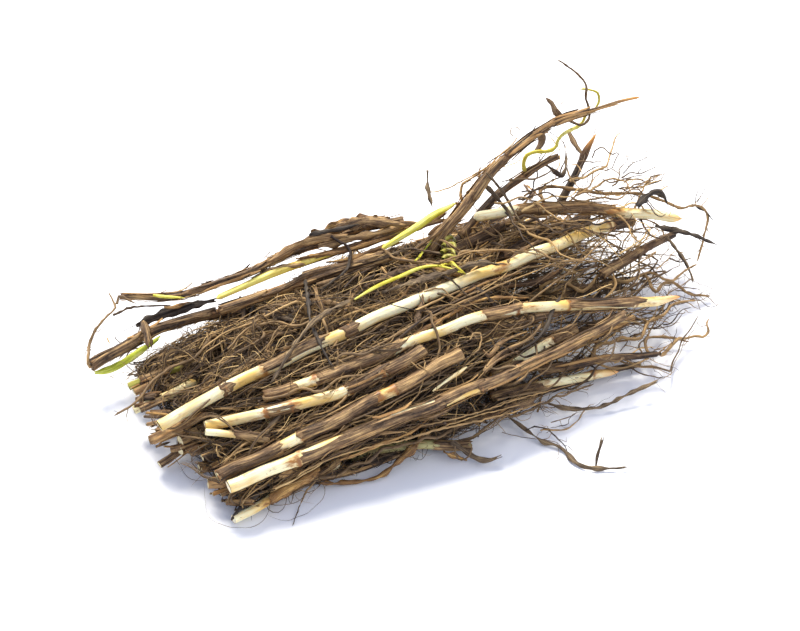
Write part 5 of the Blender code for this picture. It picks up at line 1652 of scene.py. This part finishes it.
# Small things laid over the clump: name, skin, half width, fold, and the route in the picture.
BLADES = (
    ("wrap_on_pale_rhizome", SHEATH, 0.75, 1.0,
     ((409, 288), (417, 290), (422, 297), (421, 306), (418, 314), (417, 323))),
    ("wrap_on_brown_rhizome", DARK_LEAF, 0.5, 0.9,
     ((561, 295), (557, 302), (552, 311), (549, 321), (542, 333), (531, 344), (522, 349))),
    ("strip_by_brown_rhizome", TAN_SKIN, 0.45, 0.6,
     ((404, 342), (422, 330), (440, 320), (462, 308), (482, 300), (500, 298), (527, 298))),
    ("front_tan_strip", TAN_SKIN, 0.35, 0.5,
     ((340, 460), (356, 455), (376, 446), (400, 437), (414, 430), (428, 419))),
    ("left_lobe", SHEATH, 1.15, 0.5,
     ((142, 321, 13.5), (145, 328, 13.2), (147, 336, 12.6), (149, 345, 11.6))),
    ("left_tan_piece", TAN_SKIN, 0.4, 0.4,
     ((164, 307, 14.0), (172, 308, 14.0), (184, 304, 14.0))),
    ("left_dark_flap", DARK_LEAF, 0.9, 0.4,
     ((136, 326, 11.5), (152, 320, 12.0), (172, 313, 12.4), (196, 304, 12.8), (214, 300, 12.8))),
    ("gap_sheath", SHEATH, 1.0, 0.8,
     ((305, 273, 16.5), (322, 268, 17.0), (344, 264, 17.5), (366, 258, 18.0), (388, 251, 18.5))),
    ("gap_strip", TAN_SKIN, 0.6, 0.7,
     ((326, 262, 17.5), (345, 260, 17.8), (366, 253, 18.2), (392, 245, 18.8), (404, 242, 19.0))),
    ("gap_dark_leaf", GREY_LEAF, 0.8, 0.9,
     ((352, 270, 16.5), (372, 263, 17.2), (392, 256, 18.0), (410, 249, 18.6))),
    ("hanging_dark_scrap", DARK_LEAF, 0.8, 0.8,
     ((240, 296, 13.5), (242, 304, 12.5), (244, 314, 11.5), (240, 324, 11.0))),
    ("second_dark_scrap", DARK_LEAF, 0.7, 0.9,
     ((262, 292, 13.8), (257, 298, 13.0), (252, 308, 12.0), (249, 318, 11.4))),
    ("green_streak", GREEN_LEAF, 0.22, 0.3,
     ((415, 261), (420, 256), (426, 248), (433, 239), (439, 230))),
    ("short_yellow_piece", YELLOW_SKIN, 0.35, 0.3,
     ((440, 266), (448, 264), (456, 266), (461, 270))),
    ("middle_brown_leaf", SHEATH, 0.8, 0.9,
     ((484, 372), (492, 362), (502, 352), (516, 345), (530, 338), (541, 326))),
    ("middle_grey_leaf", GREY_LEAF, 0.7, 1.1,
     ((486, 366), (497, 370), (508, 366), (521, 368))),
    ("olive_side_strip", GREY_LEAF, 0.5, 0.8,
     ((262, 437), (268, 430), (273, 421), (279, 416))),
    ("lower_front_blade", DARK_LEAF, 0.9, 0.9,
     ((231, 520, 2.2), (237, 511, 3.0), (247, 500, 4.0), (262, 491, 5.0))),
    ("brown_front_sheath", TAN_SKIN, 1.3, 0.5,
     ((270, 500, 3.6), (282, 491, 4.4), (298, 482, 5.2), (318, 470, 6.0))),
    ("upper_orange_strip", TAN_SKIN, 0.45, 0.5,
     ((296, 259, 17.6), (316, 256, 18.2), (340, 252, 18.8), (368, 244, 19.2), (398, 234, 19.6))),
    ("upper_brown_strip", SHEATH, 0.7, 0.6,
     ((262, 296, 14.6), (286, 286, 15.6), (310, 274, 16.6), (340, 266, 17.2), (372, 262, 17.6))),
    ("top_brown_leaf", SHEATH, 1.3, 0.7,
     ((334, 228, 21.5), (350, 226, 22.3), (366, 221, 22.8), (382, 223, 22.4), (400, 224, 21.6))),
    ("top_left_leaf", SHEATH, 1.0, 0.6,
     ((268, 262, 18.4), (286, 252, 19.4), (306, 242, 20.4), (324, 238, 21.0), (346, 236, 21.4))),
    ("top_fill_leaf", SHEATH, 1.1, 0.6,
     ((318, 246, 19.5), (342, 241, 20.0), (364, 237, 20.3), (388, 231, 20.5), (412, 224, 20.5))),
    ("top_fill_strip", TAN_SKIN, 0.5, 0.7,
     ((300, 258, 18.0), (330, 251, 18.6), (362, 244, 19.0), (396, 236, 19.3), (430, 223, 20.2),
      (446, 213, 21.2))),
    ("top_rear_strip", SHEATH, 0.6, 0.8,
     ((392, 222, 20.8), (410, 224, 20.6), (428, 224, 20.6), (446, 219, 20.8))),
    ("leaf_by_yellow_shoot", SHEATH, 0.8, 0.9,
     ((398, 262, 17.5), (414, 250, 18.2), (428, 240, 19.2), (442, 228, 20.5), (456, 212, 22.5))),
    ("dark_point_on_top", DARK_LEAF, 0.55, 0.5,
     ((309, 235, 21.6), (322, 232, 22.1), (340, 229, 22.4), (356, 225, 22.6))),
    ("leaf_at_shoot_foot", GREY_LEAF, 0.6, 1.0,
     ((402, 254, 17.5), (424, 252, 17.8), (446, 254, 18.0), (468, 250, 18.4))),
    ("tan_bit_by_shoot", TAN_SKIN, 0.4, 0.6,
     ((428, 235, 20.0), (438, 227, 20.6), (446, 222, 21.0))),
    ("torn_leaf_at_rear", SHEATH, 0.9, 0.8,
     ((244, 288, 14.5), (262, 276, 15.6), (284, 268, 16.6), (306, 264, 17.2))),
    ("split_cream_piece", PALE, 0.6, 0.9,
     ((433, 391), (441, 385), (450, 378), (463, 369))),
    ("curled_brown_leaf", SHEATH, 0.6, 1.1,
     ((483, 350), (489, 358), (495, 350), (502, 342), (512, 337), (524, 333))),
    ("rear_right_leaf", SHEATH, 0.8, 0.9,
     ((600, 270, 9.0), (616, 262, 9.5), (632, 252, 10.0), (650, 244, 10.0), (664, 236, 10.5))),
    ("rear_leaf_under_rhizome", SHEATH, 0.9, 0.8,
     ((508, 262), (528, 248), (548, 238), (566, 224))),
    ("brown_curl_by_rhizome", TAN_SKIN, 0.5, 1.1,
     ((519, 210), (524, 204), (531, 199), (540, 197), (546, 202))),
    ("shoot_side_leaf", GREY_LEAF, 0.6, 1.0,
     ((484, 184, 26.5), (492, 192, 25.0), (500, 202, 23.0), (509, 214, 21.0), (513, 226, 19.0))),
    ("fold_under_tendril", GREY_LEAF, 0.55, 1.1,
     ((545, 164, 27.5), (556, 172, 26.0), (563, 178, 25.0), (566, 168, 26.0), (567, 154, 27.5))),
    ("bud_by_shoot", DARK_LEAF, 0.9, 1.2,
     ((541, 132, 32.5), (543, 140, 31.0), (539, 147, 30.0), (534, 152, 29.5))),
    ("leaf_behind_upright", GREY_LEAF, 0.6, 0.8,
     ((568, 130, 26.0), (572, 138, 25.0), (577, 147, 24.0), (583, 155, 23.0))),
    ("standing_ground_leaf", GREY_LEAF, 0.35, 0.6,
     ((596, 467, 0.6), (597, 458, 2.2), (600, 447, 3.6), (603, 436, 5.0))),
    ("far_leaf_end", DARK_LEAF, 0.45, 0.6,
     ((696, 206, 13.0), (704, 210, 12.6), (711, 213, 12.2), (716, 218, 11.6))),
    ("right_hanging_leaf", DARK_LEAF, 0.5, 0.8,
     ((612, 266, 9.0), (611, 276, 7.5), (608, 288, 6.0), (606, 300, 4.5))),
    ("right_ground_strip", GREY_LEAF, 0.45, 0.7,
     ((590, 300, 5.0), (604, 292, 5.5), (620, 284, 6.0), (640, 276, 6.0))),
)
# Thin roots and twigs laid over the clump: radius, shade, and the route in the picture.
TWIGS = (
    (0.24, 0.05, ((433, 270), (446, 277), (456, 284), (463, 291), (468, 297))),
    (0.30, 0.35, ((117, 304, 15.5), (119, 296, 16.4), (127, 299, 16.0), (137, 304, 15.0))),
    (0.26, 0.10, ((113, 315, 14.0), (120, 312, 14.2), (130, 308, 14.2), (150, 306, 14.0), (172, 305, 14.0))),
    (0.18, 0.85, ((107, 338, 12.0), (108.5, 341, 11.8), (111, 345, 11.5))),
    (0.16, 0.30, ((592, 158, 24.0), (597, 149, 26.0), (602, 147, 26.5), (607, 151, 26.0), (612, 154, 25.5),
                  (619, 153, 25.5), (615, 160, 24.0), (612, 168, 22.5), (603, 170, 22.0), (595, 169, 22.0))),
    (0.10, 0.10, ((695, 203, 15.0), (697, 192, 17.0), (699, 187, 18.0), (697, 180, 19.5))),
    (0.10, 0.10, ((697, 203, 15.0), (703, 192, 17.0), (707, 184, 18.5), (712, 183, 18.5))),
    (0.16, 0.80, ((430, 192, 23.0), (442, 190, 23.5), (464, 180, 26.0), (487, 168, 28.5), (510, 165, 29.0),
                  (519, 161, 29.5), (522, 150, 31.0))),
    (0.14, 0.50, ((513, 136, 34.5), (510, 130, 35.5), (514, 127, 36.0), (520, 129, 35.5), (521, 134, 34.5))),
    (0.22, 0.25, ((626, 180, 19.0), (638, 179, 18.5), (650, 183, 18.0), (660, 180, 18.0))),
    (0.24, 0.30, ((524, 196, 20.0), (534, 190, 20.5), (546, 186, 20.5), (560, 187, 20.5))),
    (0.20, 0.60, ((440, 262), (452, 258), (471, 252), (500, 250), (527, 252), (556, 259), (585, 263))),
    (0.20, 0.45, ((467, 296), (480, 290), (497, 281), (515, 273), (530, 265))),
    (0.18, 0.55, ((424, 292), (440, 288), (452, 297), (462, 300))),
    (0.20, 0.60, ((470, 340), (474, 334), (480, 333), (481, 341), (478, 350), (470, 356))),
    (0.20, 0.65, ((405, 352), (411, 362), (420, 369), (428, 372))),
    (0.22, 0.55, ((405, 440), (430, 432), (460, 425), (490, 418), (520, 410), (545, 401))),
    (0.30, 0.00, ((331, 236, 21.5), (340, 242, 20.5), (349, 248, 19.5), (351, 258, 18.5), (347, 268, 17.5),
                  (341, 276, 16.5), (323, 286, 15.5))),
    (0.26, 0.20, ((391, 249, 18.5), (412, 249, 18.8), (430, 252, 18.6), (444, 255, 18.4))),
    (0.15, 0.70, ((300, 472), (330, 459), (365, 448), (400, 441), (440, 428), (480, 415), (520, 405))),
    (0.13, 0.60, ((420, 426), (450, 420), (480, 412), (515, 400), (545, 392), (575, 384))),
    (0.14, 0.70, ((423, 357), (425, 368), (423, 380), (417, 396), (402, 408))),
    (0.12, 0.55, ((409, 351), (416, 362), (426, 371), (436, 378))),
    (0.11, 0.05, ((516, 357), (526, 350), (536, 344), (549, 337))),
    (0.12, 0.10, ((418, 290), (420, 297), (424, 305), (430, 312), (436, 316))),
    (0.13, 0.65, ((330, 392), (346, 384), (360, 372), (378, 364), (396, 352), (410, 346))),
    (0.12, 0.40, ((232, 372), (250, 362), (270, 352), (296, 344), (318, 336))),
    (0.14, 0.75, ((206, 352), (226, 340), (250, 334), (276, 330), (300, 320), (322, 316))),
    (0.13, 0.60, ((306, 446), (330, 438), (352, 424), (380, 414), (404, 398), (430, 388))),
    (0.18, 0.30, ((455, 446), (456, 455), (462, 460), (468, 457), (472, 449), (470, 443))),
    (0.16, 0.40, ((520, 340, 6.0), (540, 338, 6.0), (560, 330, 6.0), (590, 322, 6.0), (612, 318, 5.5))),
    (0.12, 0.20, ((300, 505, 0.6), (297, 514, 0.4), (292, 526, 0.3))),
    (0.20, 0.45, ((318, 478, 4.0), (306, 492, 2.5), (300, 505, 0.6))),
    (0.12, 0.55, ((178, 300, 14.5), (196, 294, 16.5), (206, 291, 16.0))),
)


GREEN_TWIGS = (
    (0.15, 0.0, ((415, 261), (420, 257), (424, 252))),
    (0.20, 0.0, ((438, 266), (446, 264), (454, 266), (461, 270))),
)
BUD_SCALES = (
    (0.55, 0.0, ((444, 241), (447, 238), (452, 238), (456, 242))),
    (0.60, 0.0, ((443, 247), (447, 244), (452, 244), (456, 248))),
    (0.60, 0.0, ((442, 253), (446, 250), (451, 250), (455, 254))),
    (0.50, 0.0, ((443, 259), (446, 256), (451, 256), (454, 260))),
)
TWIG_SETS = (
    ("green_bud_scales", GREEN_SKIN, BUD_SCALES),
    ("twigs_and_hairs", ROOT, TWIGS),
    ("green_twigs", YELLOW_SKIN, GREEN_TWIGS),
)


def make_small_things(foreground):
    """Wraps, scraps and small leaves that the picture shows on the clump, and its twigs and hairs."""
    for number, (name, skin, half_width, fold, route) in enumerate(BLADES):
        draw = random.Random(SEEDS["blades"] + number)
        fine = smooth(raised(draped(foreground, route, 0.35), 0.5), 0.8)
        radii = half_width * narrowed(np.linspace(0.0, 1.0, len(fine)), 0.4, 4.0)
        line = Line(settled(fine, 2), radii, 0.5, facing=True)
        shape = Shape()
        add_leaf(shape, line, half_width, draw, fold, 0.35, draw.uniform(-0.3, 0.35))
        shape.piece(name, (skin,))
    rng = np.random.default_rng(SEEDS["twigs"])
    for name, skin, twigs in TWIG_SETS:
        shape = Shape()
        for radius, shade, route in twigs:
            fine = smooth(draped(foreground, route, radius + 0.1), 0.8)
            fine[1:-1] += rng.normal(0.0, 0.06, fine[1:-1].shape)
            fine = raised(fine, radius)
            add_fibres(shape, fine[None], np.array([radius]), 6, root_tones([shade]), rng, 0, 0.5)
        shape.piece(name, (skin,))


# The left face of the clump, where small stems and roots were cut: columns, rows and heights.
CUT_FACE = ((132, 388, 7.0), (142, 408, 7.0), (152, 428, 7.0), (160, 448, 5.0), (176, 452, 4.5),
            (196, 448, 7.0), (206, 462, 6.0), (206, 480, 4.0), (222, 496, 3.0), (238, 506, 2.2))


def make_cut_stubs():
    """Short cut stubs and broken roots that fray the left face."""
    face = np.array(CUT_FACE, float)
    draw = random.Random(SEEDS["stubs"])
    shape = Shape()
    for _ in range(STUBS):
        at = draw.uniform(0, len(face) - 1.001)
        column, row, height = face[int(at)] + (at % 1.0) * (face[int(at) + 1] - face[int(at)])
        column, row = column + draw.uniform(-5, 7), row + draw.uniform(-6, 6)
        reach = draw.uniform(12, 30)
        lean = draw.uniform(-0.5, 0.1)
        away = (math.cos(lean), math.sin(lean))
        height = max(0.8, height + draw.uniform(-1.5, 1.5))
        rises = (0.0, draw.uniform(-0.5, 0.8), draw.uniform(0.0, 1.5))
        route = np.array([spot(column + part * reach * away[0], row + part * reach * away[1], height + rise)
                          for part, rise in zip((0.0, 0.5, 1.0), rises)])
        radius = draw.choice((0.2, 0.25, 0.3, 0.4, 0.55, 0.75))
        fine = smooth(route, 1.0)
        line = Line(fine, np.full(len(fine), radius), 0.8)
        add_stem(shape, line, draw, DRY_SKIN, (), (True, False), draw.choice((0, 0, 0, 1, 1)), 8,
                 draw.uniform(-0.6, 0.8))
    shape.piece("cut_stubs", (BARK, TAN_SKIN))


def make_crumbs(obstacles, foreground):
    """Crumbs of soil that cling to the mat."""
    rng = np.random.default_rng(SEEDS["crumbs"])
    starts, _ = start_places(rng, CRUMBS, 2.5, obstacles)
    starts = obstacles.clear(starts, np.full(CRUMBS, 0.3), np.full(CRUMBS, True))
    starts, roomy = foreground.clear(starts[:, None], np.full(CRUMBS, 0.3), np.zeros(CRUMBS, bool))
    starts = starts[roomy, 0]
    corners = np.array([(1, 0, 0), (-1, 0, 0), (0, 1, 0), (0, -1, 0), (0, 0, 1), (0, 0, -1)], float)
    faces = np.array([(0, 2, 4), (2, 1, 4), (1, 3, 4), (3, 0, 4), (2, 0, 5), (1, 2, 5), (3, 1, 5), (0, 3, 5)])
    shape = Shape()
    for place in starts:
        size = rng.uniform(0.15, 0.45)
        form = corners * rng.uniform(0.6, 1.2, (6, 1)) * size + rng.normal(0, 0.15 * size, (6, 3))
        points = raised(place + form, 0.05)
        shape.add(points, faces, points * 2.0, np.tile([rng.uniform(), 0.0, 0.0], (6, 1)))
    shape.piece("soil_crumbs", (SOIL,))


def stand(name, data, axes, place):
    """Put a camera or a lamp at a place in metres, with its axes to the right, up and back."""
    holder = bpy.data.objects.new(name, data)
    turned = Matrix(np.stack(axes, axis=1).tolist()).to_4x4()
    turned.translation = place
    holder.matrix_world = turned
    bpy.context.scene.collection.objects.link(holder)
    return holder


def make_camera():
    """The camera of the picture."""
    data = bpy.data.cameras.new("camera")
    data.sensor_width = SENSOR_WIDTH
    data.lens = SENSOR_WIDTH * DISTANCE / (PICTURE_WIDTH / PIXELS_PER_MM)
    data.clip_start, data.clip_end = 0.01, 10.0
    place = ((EYE + FRAME_SHIFT) * MM).tolist()
    bpy.context.scene.camera = stand("camera", data, [RIGHT, UP, BACK], place)


# Each lamp's name, place, size, power and colour, in metres and watts.
LAMPS = (
    ("key", (0.08, 0.46, 0.66), 0.34, 11.5, (1.0, 0.95, 0.84)),
    ("front", (0.25, -0.9, 0.7), 0.8, 3.6, (1.0, 0.98, 0.96)),
)


def make_stage():
    """A plain white floor and soft light from above and behind."""
    bpy.ops.mesh.primitive_plane_add(size=6.0, location=(0.0, 0.0, 0.0))
    floor = bpy.context.active_object
    floor.name = "floor"
    paper = bpy.data.materials.new("floor_paper")
    paper.use_nodes = True
    shader = paper.node_tree.nodes["Principled BSDF"]
    shader.inputs["Base Color"].default_value = (0.92, 0.92, 0.93, 1.0)
    shader.inputs["Roughness"].default_value = 0.9
    floor.data.materials.append(paper)
    world = bpy.data.worlds.new("studio")
    bpy.context.scene.world = world
    world.use_nodes = True
    world.node_tree.nodes["Background"].inputs[0].default_value = (0.68, 0.76, 1.0, 1.0)
    world.node_tree.nodes["Background"].inputs[1].default_value = 0.84
    for name, place, size, power, colour in LAMPS:
        lamp = bpy.data.lights.new(name, "AREA")
        lamp.shape = "DISK"
        lamp.size = size
        lamp.energy = power
        lamp.color = colour
        back = unit(np.array(place))
        side = unit(np.cross((0.0, 0.0, 1.0), back))
        stand(name, lamp, [side, np.cross(back, side), back], place)


make_camera()
make_stage()
stems, hidden, bare, leaves, fibrous = lay_out()
stem_lines = make_stems(stems, hidden, bare, fibrous)
leaf_lines = make_leaves(leaves)
root_lines = [Line(strand.points, strand.radii, 1.0) for strand in bare]
obstacles = Obstacles(stem_lines + leaf_lines + root_lines)
foreground = Foreground(stem_lines[:len(stems)] + leaf_lines + root_lines)
make_small_things(foreground)
make_cut_stubs()
make_thickets()
make_rear_roots(hidden[-2:])
make_scraps(obstacles, foreground)
make_mat(obstacles, foreground)
make_crumbs(obstacles, foreground)
bpy.context.scene.view_settings.view_transform = "Standard"
bpy.context.view_layer.update()
